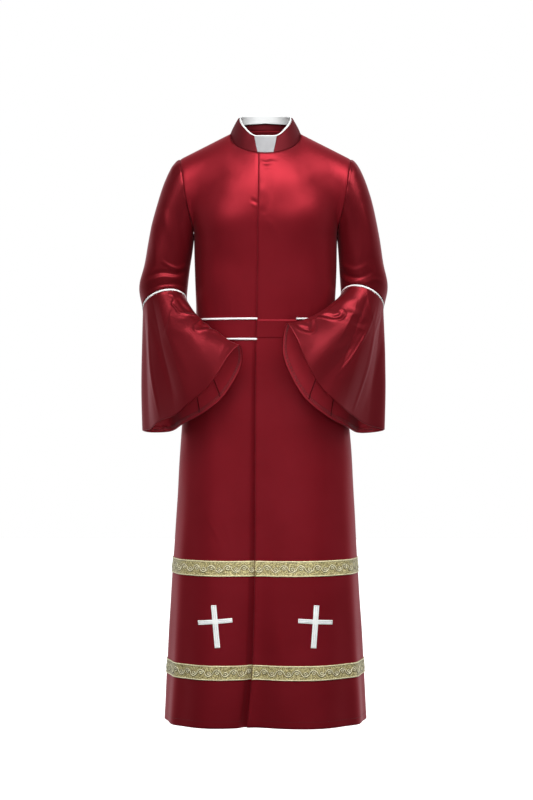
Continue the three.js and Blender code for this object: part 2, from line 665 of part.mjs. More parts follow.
function sleevePieces(sleeve) {
  const { side, elbow, rim } = sleeve;
  const corner = ({ x, y, z }) => vector(side * x, y, z);
  sleeve.rimCurve = new THREE.CatmullRomCurve3(rim.map(corner), true, 'centripetal');
  const elbowCentre = vector(side * elbow.x, elbow.y, elbow.z);
  const rimCentre = rim.reduce((sum, row) => sum.add(corner(row)), vector(0, 0, 0)).divideScalar(rim.length);

  const cordRoom = PIPING_RADIUS + SEAM;
  const upper = (angle, along) => upperSleevePoint(sleeve, angle, along);
  const lower = (station, along) => bellPoint(sleeve, station, along);
  const angles = steps(SLEEVE_COLUMNS, 0, 360).slice(0, SLEEVE_COLUMNS);
  const stationCount = rim.length * BELL_COLUMNS_PER_STATION;
  const stations = steps(stationCount, 0, rim.length).slice(0, stationCount);
  const shoulder = vector(side * (SHOULDER_TIP.x - 15), 0, (SHOULDER_TIP.z + CHEST_Z) / 2);

  const upperGrid = tubeGrid(upper, angles, steps(SLEEVE_ROWS, 0, 1 - cordRoom / ELBOW_SPEED),
    (along) => shoulder.clone().lerp(elbowCentre, along));
  const bellGrid = tubeGrid(lower, stations, steps(BELL_ROWS, cordRoom / BELL_SPEED, 1),
    (along) => elbowCentre.clone().lerp(rimCentre, along));
  const ring = angles.map((angle) => elbowPoint(sleeve, angle));
  const outward = ring.map((point) => point.clone().sub(elbowCentre).normalize());
  const path = ring.map((point, i) => point.clone().addScaledVector(outward[i], -CLOTH / 2));
  return [
    mesh(`sleeve_${sleeve.name}`, wall(upperGrid, 0, CLOTH, true), SATIN),
    mesh(`bell_${sleeve.name}`, wall(bellGrid, 0, CLOTH, true), SATIN),
    mesh(`sleeve_piping_${sleeve.name}`, cord(path, outward, PIPING_RADIUS, true), WHITE),
  ];
}

// ---- The robe ----

const robe = new THREE.Group();
robe.add(...bodyPieces(), ...collarPieces(), ...SLEEVES.flatMap(sleevePieces));

export default robe;
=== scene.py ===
"""The looks of a clergy robe: burgundy satin, white piping, gold brocade bands and two white crosses.

Tables and shapes are in millimetres, in the part's frame: +Z up, the front faces -Y, the wearer's left
is +X. Meshes are turned into metres where they are made.
"""

import math

import bpy
import numpy as np
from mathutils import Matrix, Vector


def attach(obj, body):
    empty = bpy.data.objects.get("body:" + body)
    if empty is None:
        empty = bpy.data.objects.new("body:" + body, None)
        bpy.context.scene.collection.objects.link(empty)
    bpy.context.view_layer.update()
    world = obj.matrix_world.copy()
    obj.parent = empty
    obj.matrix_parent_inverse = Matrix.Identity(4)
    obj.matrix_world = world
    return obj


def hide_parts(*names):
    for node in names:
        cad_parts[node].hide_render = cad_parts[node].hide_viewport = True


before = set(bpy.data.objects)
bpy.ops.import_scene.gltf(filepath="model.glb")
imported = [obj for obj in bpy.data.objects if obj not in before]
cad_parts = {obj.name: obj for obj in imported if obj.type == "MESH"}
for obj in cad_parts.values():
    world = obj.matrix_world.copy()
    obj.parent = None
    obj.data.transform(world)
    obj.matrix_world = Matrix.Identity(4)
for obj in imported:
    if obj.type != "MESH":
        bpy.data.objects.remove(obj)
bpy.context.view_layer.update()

MM = 0.001

# ---- The garment's shape, as in the part ----

SEAM = 0.3
CLOTH, LAID = 1.6, 1.0  # thickness of the panels' cloth, and of what is laid on them
PIPING, PIPING_INSET = 2.3, 1.0
CHEST_Z, HEM_Z = -215, -1368
LEVEL_DROP = 100

# height, half width, depth in front, depth behind, squareness
BODY = [
    (-215, 171, 126, 116, 0.07), (-320, 169, 120, 106, 0.06), (-415, 166, 115, 99, 0.05),
    (-470, 169, 116, 104, 0.05), (-560, 188, 122, 121, 0.05), (-700, 203, 133, 136, 0.06),
    (-857, 212, 144, 146, 0.06), (-1087, 227, 158, 163, 0.06), (-1368, 243, 172, 183, 0.06),
]
# angle from the centre front, half width in degrees, height at the hem, height where it begins
SKIRT_FOLDS = [
    (-6, 11, -24, -500), (-34, 15, 13, -560), (28, 15, 14, -560), (-56, 7, 7, -620), (57, 7, 6, -640),
    (-73, 9, -4, -640), (74, 9, -4, -620), (104, 9, -9, -700), (122, 9, 13, -620), (140, 8, -11, -660),
    (157, 10, 15, -560), (177, 9, -14, -600), (196, 10, 14, -580), (215, 8, -12, -700),
    (234, 9, 12, -640), (254, 9, -10, -680),
]
NECK_HALF, NECK_FRONT, NECK_BACK, NECK_SIDE_Z, NECK_DROP, NECK_RISE = 84, 86, 64, 31, 55, 17
NECK_SHARE = 0.5
TIP_X, TIP_Z = 205, -30
SHOULDER_ROUNDING = 215
CHEST_FALL = 190  # how strongly the yoke runs down into the chest section
ARMHOLE = [(-30, 205), (-53, 201), (-106, 193), (-156, 183), (-189, 174), (CHEST_Z, 171)]
ARMHOLE_FRONT, ARMHOLE_BACK = 56, 60
# height, x of the overlapping edge, how far the under front sinks beside it, and over what width
OPENING = [
    (0, -15, 2.6, 7), (-175, -17, 2.6, 7), (-415, -20, 3.0, 8), (-560, -23, 7.5, 12), (-980, -25, 9.5, 17),
    (-1230, -32, 10, 20), (HEM_Z, -45, 11, 23),
]
UNDERLAP = 44
CAMERA = (2.4, -4800, -607)  # where the camera is
QUARTER_GIRTH = 275  # about the way round from the centre of a panel to the side seam
ELBOW_SPEED, BELL_SPEED = 204, 260  # mm of sleeve and bell for each unit of their length, at the elbow
COLLAR_TOP = (65.5, 69, 63)
COLLAR_EDGE = [(0, 17), (27, 20), (55, 42), (90, 68), (180, 81)]
COLLAR_GAP = (13, 24)  # half the angle between its ends, at the neckline and at its upper edge
COLLAR_THICK = 2.0
BAND_INSET = 3.5
BELT_TOP, BELT_BOTTOM, PIPING_TOP, PIPING_BOTTOM, BELT_TAB_END = -419, -461, -416, -464, 72
TRIMS = {"trim_upper": (-982, -1018), "trim_lower": (-1224, -1258)}
CROSS = {"height": 98.5, "span": 80, "upright": 12.4, "arm": 10.4, "arm_below": 38, "lift": 0.9}
CROSSES = {"cross_right": (-120.4, -1084.5, 5.3), "cross_left": (118.6, -1084.5, -4.2)}
ELBOW_BULGE = (8, 0.86, 0.09)
ARMHOLE_GAP = (0.45, 0, -0.225)
# how a sleeve leaves the armhole and reaches the elbow: outwards and upwards, each with what it has
# more on the sleeve's outer side
SLEEVE_START, SLEEVE_END = (22, 18, -26, 20), (3.5, 8.5, 84, 16)
SLEEVES = {
    "right": {
        "side": -1, "elbow": (241.5, -5, -378.5), "half_width": 52.5, "half_depth": 60, "outer_drop": 10.5,
        "front_rise": 31.5,
        # angle on the elbow ring, x, y, z of the rim, sag and outward swell between them
        "rim": [
            (128, 60, -185, -479, 40, 4), (114, 85, -200, -503, 28, 8), (100, 107, -210, -540, 16, 8),
            (86, 135, -212, -579, 8, 8), (70, 176, -200, -613, 0, 8), (55, 207, -178, -639, 0, -4),
            (38, 250, -135, -655, 0, 12), (20, 272, -88, -674, 0, 0), (2, 293, -42, -679, 0, 6),
            (-32, 275, 8, -684, 0, 8), (-70, 230, 4, -682, 0, 6), (-104, 190, -78, -661, 0, 14),
            (-136, 134, -130, -631, 0, 26), (-166, 92, -148, -592, 6, 30), (-200, 54, -160, -520, 20, 24),
        ],
    },
    "left": {
        "side": 1, "elbow": (232, -5, -370), "half_width": 51, "half_depth": 60, "outer_drop": 14,
        "front_rise": 32,
        "rim": [
            (128, 50, -180, -430, 36, 6), (114, 74, -199, -466, 28, 8), (100, 92, -210, -512, 16, 8),
            (86, 120, -213, -560, 8, 8), (70, 153, -201, -600, 0, -2), (55, 178, -178, -622, 0, 8),
            (38, 203, -138, -641, 0, 12), (20, 240, -88, -664, 0, 0), (2, 283, -42, -676, 0, 6),
            (-32, 266, 8, -683, 0, 8), (-70, 226, 6, -685, 0, 6), (-104, 187, -80, -668, 0, 14),
            (-136, 134, -128, -639, 0, 28), (-166, 86, -148, -596, 6, 34), (-200, 40, -160, -500, 20, 32),
        ],
    },
}


# ---- Small maths ----

def stack(x, y, z):
    return np.stack(np.broadcast_arrays(x, y, z), axis=-1).astype(float)


def lerp(a, b, t):
    return a + (b - a) * t


def unit(v):
    return v / np.maximum(np.linalg.norm(v, axis=-1, keepdims=True), 1e-9)


def smoothstep(low, high, x):
    t = np.clip((x - low) / (high - low), 0, 1)
    return t * t * (3 - 2 * t)


def hermite(start, start_slope, end, end_slope, t):
    s = 1 - t
    return (start * s * s * (1 + 2 * t) + end * t * t * (3 - 2 * t)
            + start_slope * s * s * t - end_slope * t * t * s)


def read_table(table, key):
    """Every further column of a table at values of its first one, on a smooth curve through the rows."""
    rows = np.array(table, float)
    x, values = rows[:, 0], rows[:, 1:]
    slopes = np.empty_like(values)
    slopes[1:-1] = (values[2:] - values[:-2]) / (x[2:] - x[:-2])[:, None]
    slopes[0] = (values[1] - values[0]) / (x[1] - x[0])
    slopes[-1] = (values[-1] - values[-2]) / (x[-1] - x[-2])
    key = np.asarray(key, float)
    sign = 1 if x[-1] > x[0] else -1
    i = np.clip(np.searchsorted(sign * x, sign * key) - 1, 0, len(x) - 2)
    step = (x[i + 1] - x[i])[..., None]
    t = np.clip((key[..., None] - x[i][..., None]) / step, 0, 1)
    return np.moveaxis(hermite(values[i], slopes[i] * step, values[i + 1], slopes[i + 1] * step, t), -1, 0)


def smooth_line(points, per_span=8):
    """A smooth line through points, as many points of it."""
    spans = len(points) - 1
    return curve_at(points, np.linspace(0, spans, spans * per_span + 1), False)


def curve_at(points, u, closed):
    """Points of a centripetal curve at u, which counts its own points from 0."""
    points = np.array(points, float)
    n = len(points)
    u = np.asarray(u, float)
    if closed:
        i = np.floor(u).astype(int)
        t = u - i
        p0, p1, p2, p3 = (points[(i + k) % n] for k in (-1, 0, 1, 2))
    else:
        i = np.clip(np.floor(u).astype(int), 0, n - 2)
        t = u - i
        ends = np.vstack([2 * points[0] - points[1], points, 2 * points[-1] - points[-2]])
        p0, p1, p2, p3 = (ends[i + k] for k in (0, 1, 2, 3))
    gap = [np.maximum(np.linalg.norm(b - a, axis=-1, keepdims=True) ** 0.5, 1e-4)
           for a, b in ((p0, p1), (p1, p2), (p2, p3))]
    m1 = ((p1 - p0) / gap[0] - (p2 - p0) / (gap[0] + gap[1]) + (p2 - p1) / gap[1]) * gap[1]
    m2 = ((p2 - p1) / gap[1] - (p3 - p1) / (gap[1] + gap[2]) + (p3 - p2) / gap[2]) * gap[1]
    return hermite(p1, m1, p2, m2, t[..., None])


def distances_along(path):
    """The way along a path from its first point to each of its points."""
    return np.concatenate([[0], np.cumsum(np.linalg.norm(np.diff(path, axis=0), axis=1))])


def grid_normals(points, closed=False, flip=False):
    """Unit normals of a grid of points, whose rows run down and columns run round."""
    if closed:
        across = np.roll(points, -1, axis=1) - np.roll(points, 1, axis=1)
    else:
        across = np.gradient(points, axis=1)
    normals = unit(np.cross(across, np.gradient(points, axis=0)))
    return -normals if flip else normals


def seen(points):
    """Where points show in the front view, measured at the garment's middle."""
    scale = -CAMERA[1] / (points[..., 1] - CAMERA[1])
    x = CAMERA[0] + (points[..., 0] - CAMERA[0]) * scale
    z = CAMERA[2] + (points[..., 2] - CAMERA[2]) * scale
    return np.stack([x, z], axis=-1)


# ---- Relief of the cloth ----

def undulation(points, seed, height, longest, shortest, upright=0.35):
    """Slow uneven waves, the same wherever two panels meet. Less uprightness makes them stand taller."""
    draw = np.random.default_rng(seed)
    total = np.zeros(points.shape[:-1])
    count = 22
    for _ in range(count):
        length = math.exp(draw.uniform(math.log(shortest), math.log(longest)))
        direction = draw.normal(size=3) * (1, 1, upright)
        direction = direction / np.linalg.norm(direction) * (2 * math.pi / length)
        total += np.sin(points @ direction + draw.uniform(0, 2 * math.pi)) * (length / longest) ** 0.7
    return total * height / math.sqrt(count / 2)


def crease(points, line, width, height, taper=0.7):
    """The relief of one crease along a line: full in its middle, and running out towards both ends."""
    total = np.zeros(points.shape[:-1])
    reach = 3.2 * width
    near = np.all((points > line.min(0) - reach) & (points < line.max(0) + reach), axis=-1)
    if not near.any():
        return total
    p = points[near]
    best = np.full(len(p), np.inf)
    place = np.zeros(len(p))
    lengths = np.linalg.norm(np.diff(line, axis=0), axis=1)
    ends = np.concatenate([[0], np.cumsum(lengths)]) / lengths.sum()
    for k in range(len(line) - 1):
        along = line[k + 1] - line[k]
        t = np.clip((p - line[k]) @ along / max(along @ along, 1e-9), 0, 1)
        away = np.sum((p - line[k] - t[:, None] * along) ** 2, axis=1)
        closer = away < best
        best = np.where(closer, away, best)
        place = np.where(closer, lerp(ends[k], ends[k + 1], t), place)
    fade = np.sin(math.pi * np.clip(place, 0, 1)) ** taper
    spread = best / width ** 2
    total[near] = height * fade * (np.exp(-spread) - 0.3 * np.exp(-spread / 4))
    return total


def creases(points, table, taper=0.7):
    """The relief of all the creases in a table."""
    return sum(crease(points, smooth_line(line), width, height, taper) for width, height, *line in table)


# Creases of the fronts: width, height, then x and z along the line
FRONT_CREASES = [
    # the full chest, above the curved lower edge of its shine, and the hollow below that edge
    (38, 5.0, (-190, -104), (-154, -150), (-92, -184), (-16, -176)),
    (48, -5.2, (-190, -206), (-144, -262), (-82, -282), (-14, -272)),
    (38, 5.0, (-16, -178), (46, -190), (110, -164), (184, -112)),
    (48, -5.2, (-14, -274), (50, -284), (116, -258), (188, -210)),
    # the shoulders
    (22, -1.8, (-150, -40), (-110, -70), (-60, -84)),
    (20, 1.6, (150, -46), (110, -72), (70, -96)),
    (9, 1.3, (150, -140), (128, -168), (112, -190)),
    (9, -1.2, (-148, -120), (-134, -150), (-128, -182)),
    # beside the closing
    (5, -2.6, (-12, -32), (2, -40), (12, -36), (24, -44)),
    (4, 2.2, (-10, -44), (4, -50), (16, -45), (26, -50)),
    (4, -1.8, (-8, -54), (4, -60), (14, -57)),
    (8, 1.4, (-10, -66), (-6, -110), (-9, -160)),
    (6, -1.2, (6, -70), (10, -118), (6, -168)),
    (4, -2.2, (-34, -136), (-26, -143), (-18, -146)),
    (3, 1.6, (-32, -147), (-24, -152), (-18, -156)),
    (3, 1.2, (-16, -170), (-4, -176), (8, -172)),
    (7, 1.3, (-12, -180), (14, -196), (34, -230)),
    # long soft falls from chest to belt
    (12, 1.0, (-132, -235), (-124, -300), (-128, -380)),
    (14, 0.8, (-60, -250), (-52, -310), (-58, -400)),
    (11, -0.8, (30, -250), (38, -315), (28, -405)),
    (10, -1.0, (128, -240), (134, -310), (127, -392)),
    # skirt, below the belt
    (13, 0.9, (-120, -470), (-128, -560), (-132, -690)),
    (10, -0.8, (-84, -472), (-88, -560), (-92, -640)),
    (9, -0.8, (108, -474), (118, -560), (126, -660)),
    # the bands are drawn into a small upright wrinkle beside the closing
    (4, 2.0, (-15, -970), (-14, -1000), (-16, -1030)),
    (4, 2.0, (-26, -1214), (-25, -1241), (-27, -1268)),
    # faint slanting creases
    (5, 1.1, (-138, -880), (-118, -915), (-96, -958)),
    (4, -0.9, (-120, -872), (-100, -905), (-84, -950)),
    (6, 1.0, (26, -700), (54, -760), (66, -830)),
    (5, -0.8, (20, -560), (40, -600), (52, -650)),
]
# The same for the back
BACK_CREASES = [
    (18, 3.0, (-150, -85), (-90, -100), (-20, -96)),
    (18, 2.6, (150, -90), (95, -112), (30, -104)),
    (14, -2.4, (-160, -170), (-110, -190), (-50, -186)),
    (15, -2.2, (158, -160), (110, -186), (55, -196)),
    (12, 1.8, (-120, -215), (-110, -300), (-116, -395)),
    (10, -1.6, (-76, -225), (-66, -310), (-72, -400)),
    (13, 1.6, (-24, -210), (-16, -300), (-22, -398)),
    (11, -1.7, (22, -230), (28, -320), (20, -402)),
    (12, 1.7, (70, -215), (80, -300), (74, -395)),
    (10, -1.4, (122, -225), (130, -310), (124, -392)),
    (12, 1.5, (-92, -475), (-100, -570), (-108, -700)),
    (10, -1.3, (12, -478), (20, -560), (16, -650)),
    (11, 1.4, (94, -474), (104, -560), (112, -680)),
    (6, 1.1, (-60, -880), (-30, -930), (4, -965)),
    (6, 1.0, (88, -830), (120, -880), (140, -950)),
]
# Creases of both sides: width, height, then y and z along the line
SIDE_CREASES = [
    (12, 1.8, (-40, -225), (-30, -310), (-34, -400)),
    (11, -1.6, (4, -235), (10, -320), (2, -405)),
    (12, 1.6, (46, -225), (50, -300), (42, -398)),
    (12, 1.5, (-52, -480), (-62, -600), (-72, -740)),
    (11, -1.4, (6, -490), (10, -620), (4, -760)),
    (12, 1.5, (60, -480), (72, -610), (84, -750)),
]


def body_relief(points, normals):
    """Relief of the body panels at points of their smooth surface."""
    facing = normals[..., 1]
    z = points[..., 2]
    from_front, from_side = points[..., [0, 2]], points[..., [1, 2]]
    relief = undulation(points, 3, 0.9, 240, 70)
    relief += smoothstep(0.05, 0.45, -facing) * creases(from_front, FRONT_CREASES)
    relief += smoothstep(0.05, 0.45, facing) * creases(from_front, BACK_CREASES)
    relief += smoothstep(0.35, 0.8, np.abs(normals[..., 0])) * creases(from_side, SIDE_CREASES)
    # the belt draws the cloth in, with small gathers above and below it
    across = np.arctan2(points[..., 0], -points[..., 1])
    gathers = np.sin(across * 47 + 1.7 * np.sin(across * 9)) * 0.5 + np.sin(across * 29 + 2) * 0.5
    beside_belt = np.exp(-((z - BELT_TOP - 16) / 18) ** 2) + np.exp(-((z - BELT_BOTTOM + 16) / 20) ** 2)
    relief += 0.45 * gathers * beside_belt
    calm = np.exp(-((z - (BELT_TOP + BELT_BOTTOM) / 2) / 34) ** 4)
    return relief * (1 - 0.8 * calm)


# ---- Body surface ----
# A point has a reach, 0 at the centre and 1 or -1 at a side, and a level: 0 at the neckline and
# shoulder seam, 1 at the chest section, and one more for each LEVEL_DROP below.

def level_of(z):
    return 1 + (CHEST_Z - z) / LEVEL_DROP


def height_of(level):
    return CHEST_Z - (level - 1) * LEVEL_DROP


def fold_height(angle, z):
    height = 0
    for centre, width, rise, start in SKIRT_FOLDS:
        growth = np.clip((start - z) / (start - HEM_Z), 0, 1) ** 1.2
        away = (angle - centre + 540) % 360 - 180
        height = height + rise * growth * np.exp(-((away / width) ** 2))
    return height


def section_point(angle, z):
    half_width, front, back, square = read_table(BODY, z)
    turn = np.radians(angle)
    sine, cosine = np.sin(turn), np.cos(turn)
    depth = np.where(cosine > 0, front, back)
    swell = 1 + square * np.sin(2 * turn) ** 2
    outward = unit(stack(sine / half_width, -cosine / depth, 0))
    point = stack(half_width * sine * swell, -depth * cosine * swell, z)
    return point + outward * fold_height(angle, z)[..., None]


def neckline_point(angle):
    turn = np.radians(angle)
    sine, cosine = np.sin(turn), np.cos(turn)
    in_front = cosine > 0
    depth = np.where(in_front, NECK_FRONT, NECK_BACK)
    rise = np.where(in_front, -NECK_DROP * np.maximum(cosine, 0) ** 0.85, -NECK_RISE * cosine)
    return stack(NECK_HALF * sine, -depth * cosine, NECK_SIDE_Z + rise)


def top_edge_point(reach, is_back):
    angle = 90 * np.clip(reach / NECK_SHARE, -1, 1)
    neck = neckline_point(180 - angle if is_back else angle)
    along = (np.abs(reach) - NECK_SHARE) / (1 - NECK_SHARE)
    shoulder = stack(lerp(NECK_HALF, TIP_X, along) * np.sign(reach), 0, lerp(NECK_SIDE_Z, TIP_Z, along))
    return np.where((np.abs(reach) <= NECK_SHARE)[..., None], neck, shoulder)


def armhole_point(along, side, is_back):
    turn = np.pi * along
    z = lerp(TIP_Z, CHEST_Z, (1 - np.cos(turn)) / 2)
    y = np.sin(turn) * (ARMHOLE_BACK if is_back else -ARMHOLE_FRONT)
    return stack(read_table(ARMHOLE, z)[0] * side, y, z)


def yoke_column(reach, level, is_back):
    angle = 180 - 90 * reach if is_back else 90 * reach
    chest = section_point(angle, np.full_like(reach, CHEST_Z))
    fall = (section_point(angle, np.full_like(reach, CHEST_Z - 1)) - chest) * CHEST_FALL
    centred = np.maximum(np.cos(np.pi / 2 * np.minimum(np.abs(reach) / NECK_SHARE, 1)), 0)
    forward = 1 - 0.35 * centred if is_back else -(1 - 0.55 * centred)
    start = stack(0, forward, -(0.75 if is_back else 0.89) * centred) * SHOULDER_ROUNDING
    return hermite(top_edge_point(reach, is_back), start, chest, fall, level[..., None])


def body_point(reach, level, is_back):
    reach, level = np.broadcast_arrays(np.asarray(reach, float), np.asarray(level, float))
    angle = 180 - 90 * reach if is_back else 90 * reach
    point = section_point(angle, height_of(np.maximum(level, 1)))
    high = level < 1
    if high.any():
        r, l = reach[high], level[high]
        side = np.where(r < 0, -1.0, 1.0)
        to_armhole = armhole_point(l, side, is_back) - yoke_column(side, l, is_back)
        point[high] = yoke_column(r, l, is_back) + to_armhole * (r ** 4)[:, None]
    return point


def reach_per_mm(level):
    return 2 / np.pi / read_table(BODY, height_of(np.maximum(level, 1)))[0]


def opening_at(level):
    return read_table(OPENING, np.minimum(height_of(level), 0))


def edge_reach(level):
    return opening_at(level)[0] * reach_per_mm(level)


def sunk(reach, level):
    """How far the under front lies inside the surface, near the edge and beneath it."""
    _, depth, width = opening_at(level)
    share = 1 - np.clip((edge_reach(level) - reach) / reach_per_mm(level) / width, 0, 1)
    return depth * share * share * (3 - 2 * share)


def body_patch(reach, level, is_back, sink=False):
    """Points and outward normals of the cloth over a grid of reaches and levels, with its relief."""
    reach, level = np.broadcast_arrays(reach, level)
    points = body_point(reach, level, is_back)
    normals = grid_normals(points, flip=not is_back)
    relief = body_relief(points, normals)
    relief *= smoothstep(0, 0.12, level) * 0.85 + 0.15
    if sink:
        relief = relief - sunk(reach, level)
    points = points + normals * relief[..., None]
    return points, grid_normals(points, flip=not is_back)


# ---- Meshes ----

def add_mesh(name, points, faces, corner_uv=None, inner=None):
    """A mesh from grids in mm. `inner` tells which faces show the other side of the cloth."""
    mesh = bpy.data.meshes.new(name)
    points = np.asarray(points, float).reshape(-1, 3) * MM
    mesh.vertices.add(len(points))
    mesh.vertices.foreach_set("co", points.ravel())
    faces = np.asarray(faces, int)
    corners = faces.shape[1]
    mesh.loops.add(faces.size)
    mesh.loops.foreach_set("vertex_index", faces.ravel())
    mesh.polygons.add(len(faces))
    mesh.polygons.foreach_set("loop_start", np.arange(0, faces.size, corners))
    mesh.polygons.foreach_set("loop_total", np.full(len(faces), corners))
    mesh.polygons.foreach_set("use_smooth", np.ones(len(faces), bool))
    if corner_uv is not None:
        layer = mesh.uv_layers.new(name="cloth")
        layer.data.foreach_set("uv", (np.asarray(corner_uv, float) * MM).ravel())
    if inner is not None:
        mesh.polygons.foreach_set("material_index", np.asarray(inner, np.int32))
    mesh.update(calc_edges=True)
    mesh.validate()
    made = bpy.data.objects.new(name, mesh)
    bpy.context.scene.collection.objects.link(made)
    return made


def lay_of(points, closed):
    """Distances round and down a grid, for its texture coordinates."""
    if closed:
        points = np.concatenate([points, points[:, :1]], axis=1)
    round_ = np.linalg.norm(np.diff(points, axis=1), axis=2)
    down = np.linalg.norm(np.diff(points, axis=0), axis=2)
    u = np.concatenate([np.zeros((len(points), 1)), np.cumsum(round_, axis=1)], axis=1)
    u -= u[:, u.shape[1] // 2][:, None]
    v = np.concatenate([np.zeros((1, points.shape[1])), np.cumsum(down, axis=0)], axis=0)
    return np.stack([u, -v], axis=-1)


EDGE_ROUNDING = 0.85  # how far the middle of a cut edge stands out, as a share of half its thickness


def shell(name, points, normals, thick, closed=False, lift=0.0):
    """A thin wall of cloth with rounded edges. `thick` may be one number or a grid of them."""
    rows, columns = points.shape[:2]
    thick = np.broadcast_to(np.asarray(thick, float), (rows, columns))[..., None]
    outer = points + normals * lift
    inner = outer - normals * thick
    uv = lay_of(outer, closed)
    layer = rows * columns
    r, c = np.meshgrid(np.arange(rows - 1), np.arange(columns if closed else columns - 1), indexing="ij")
    r, c = r.ravel(), c.ravel()
    ring = [(r, c), (r + 1, c), (r + 1, c + 1), (r, c + 1)]
    face = np.stack([i * columns + j % columns for i, j in ring], axis=1)
    face_uv = np.stack([uv[i, j] for i, j in ring], axis=1)
    faces = [face, layer + face[:, ::-1]]
    uvs = [face_uv, face_uv[:, ::-1]]
    down, along = np.arange(rows), np.arange(columns)
    if closed:
        loop = np.arange(columns + 1)
        edges = [(np.zeros_like(loop), loop[::-1], 1), (np.full_like(loop, rows - 1), loop, -1)]
    else:
        path_r = np.concatenate([down[:-1], np.full(columns - 1, rows - 1), down[:0:-1],
                                 np.zeros(columns, int)])
        path_c = np.concatenate([np.zeros(rows - 1, int), along[:-1], np.full(rows - 1, columns - 1),
                                 along[::-1]])
        edges = [(path_r, path_c, 0)]
    extra, count = [], 2 * layer
    flat_outer, flat_inner = outer.reshape(-1, 3), inner.reshape(-1, 3)
    for pr, pc, inward in edges:
        pid = pr * columns + pc % columns
        if inward:
            back_r, back_c = pr + inward, pc % columns
        else:
            back_r = np.clip(pr, 1, rows - 2)
            back_c = np.clip(pc, 1, columns - 2)
        out = unit(outer[pr, pc % columns] - outer[back_r, back_c])
        half = thick.reshape(-1, 1)[pid] / 2
        middle = (flat_outer[pid] + flat_inner[pid]) / 2 + out * half * EDGE_ROUNDING
        extra.append(middle[:-1])
        mid = count + np.arange(len(pid)) % (len(pid) - 1)
        count += len(pid) - 1
        a, b, ma, mb = pid[:-1], pid[1:], mid[:-1], mid[1:]
        faces += [np.stack([b, a, ma, mb], 1), np.stack([mb, ma, layer + a, layer + b], 1)]
        ua, ub = uv[pr[:-1], pc[:-1]], uv[pr[1:], pc[1:]]
        uvs += [np.stack([ub, ua, ua, ub], 1)] * 2
    inner = np.concatenate([np.full(len(part), k == 1) for k, part in enumerate(faces)])
    face = np.concatenate(faces)
    all_uv = np.concatenate(uvs)
    middle_row, middle_column = rows // 2, columns // 2
    place, below, beside = (outer[middle_row + i, middle_column + j] for i, j in ((0, 0), (1, 0), (0, 1)))
    if np.dot(np.cross(below - place, beside - place), normals[middle_row, middle_column]) < 0:
        face, all_uv = face[:, ::-1], all_uv[:, ::-1]
    return add_mesh(name, np.concatenate([flat_outer, flat_inner, *extra]), face, all_uv, inner)


def tube_parts(path, normals, radius, sides, closed=False, flatten=1.0):
    """Points and faces of a cord along a path, `flatten` times as high over the cloth as it is wide."""
    if closed:
        along = np.roll(path, -1, axis=0) - np.roll(path, 1, axis=0)
    else:
        along = np.gradient(path, axis=0)
    across = unit(np.cross(along, normals))
    up = unit(np.cross(across, along))
    turn = 2 * np.pi * (np.arange(sides) + 0.5) / sides
    sine, cosine = np.sin(turn)[None, :, None], np.cos(turn)[None, :, None]
    points = path[:, None] + (cosine * up[:, None] * flatten + sine * across[:, None]) * radius
    n = len(path)
    i, k = np.meshgrid(np.arange(n if closed else n - 1), np.arange(sides), indexing="ij")
    i, k = i.ravel(), k.ravel()

    def index(a, b):
        return (a % n) * sides + b % sides

    faces = np.stack([index(i, k), index(i, k + 1), index(i + 1, k + 1), index(i + 1, k)], axis=1)
    if not closed:
        cap = np.arange(0, sides - 2, 2)
        for end in (0, n - 1):
            fan = np.stack([index(end, 0 * cap), *(index(end, cap + step) for step in (1, 2, 3))], 1)
            faces = np.concatenate([faces, fan[:, ::-1] if end == 0 else fan])
    length = distances_along(path)
    if closed:
        length = np.concatenate([length, [length[-1] + np.linalg.norm(path[0] - path[-1])]])
    uv_i = np.minimum(np.stack([i, i, i + 1, i + 1], 1), len(length) - 1)
    uv_k = np.stack([k, k + 1, k + 1, k], 1)
    uv = np.stack([length[uv_i], uv_k * (2 * np.pi * radius / sides)], axis=-1)
    uv = np.concatenate([uv, np.zeros((len(faces) - len(uv), 4, 2))])  # the caps have none
    return points.reshape(-1, 3), faces, uv


def join_parts(name, parts):
    """One mesh of several parts, each given as points, faces and texture coordinates."""
    points, faces, uvs = zip(*parts)
    starts = np.cumsum([0] + [len(part) for part in points])
    faces = [part + start for part, start in zip(faces, starts)]
    return add_mesh(name, np.concatenate(points), np.concatenate(faces), np.concatenate(uvs))


def cord(name, path, normals, radius, closed=False):
    return join_parts(name, [tube_parts(path, normals, radius, 12, closed)])


# ---- Materials ----

def node(tree, kind, **values):
    """A new node. A value is for the input of its name, with _ for a space, or else for the node itself.

    An output of another node is linked to the input.
    """
    made = tree.nodes.new(kind)
    for name, value in values.items():
        label = name.replace("_", " ")
        if label not in made.inputs:
            setattr(made, name, value)
        elif isinstance(value, bpy.types.NodeSocket):
            tree.links.new(value, made.inputs[label])
        else:
            made.inputs[label].default_value = value
    return made


def combine(tree, operation, first, second):
    made = node(tree, "ShaderNodeMath", operation=operation)
    tree.links.new(first, made.inputs[0])
    tree.links.new(second, made.inputs[1])
    return made.outputs[0]


def new_material(name, **principled):
    """A material. Values are for the inputs of its shader, with _ for a space in their names."""
    material = bpy.data.materials.new(name)
    material.use_nodes = True
    tree = material.node_tree
    shader = tree.nodes["Principled BSDF"]
    for key, value in principled.items():
        shader.inputs[key.replace("_", " ")].default_value = value
    return material, tree, shader


def mottle(tree, base, other, scale, detail=3.0, low=0.35, high=0.65):
    """A colour that drifts between two, over the object's own coordinates."""
    place = node(tree, "ShaderNodeTexCoord").outputs
    noise = node(tree, "ShaderNodeTexNoise", Vector=place["Object"], Scale=scale, Detail=detail)
    ramp = node(tree, "ShaderNodeValToRGB", Fac=noise.outputs["Fac"])
    for stop, position, colour in zip(ramp.color_ramp.elements, (low, high), (base, other)):
        stop.position = position
        stop.color = (*colour, 1)
    return ramp.outputs["Color"]


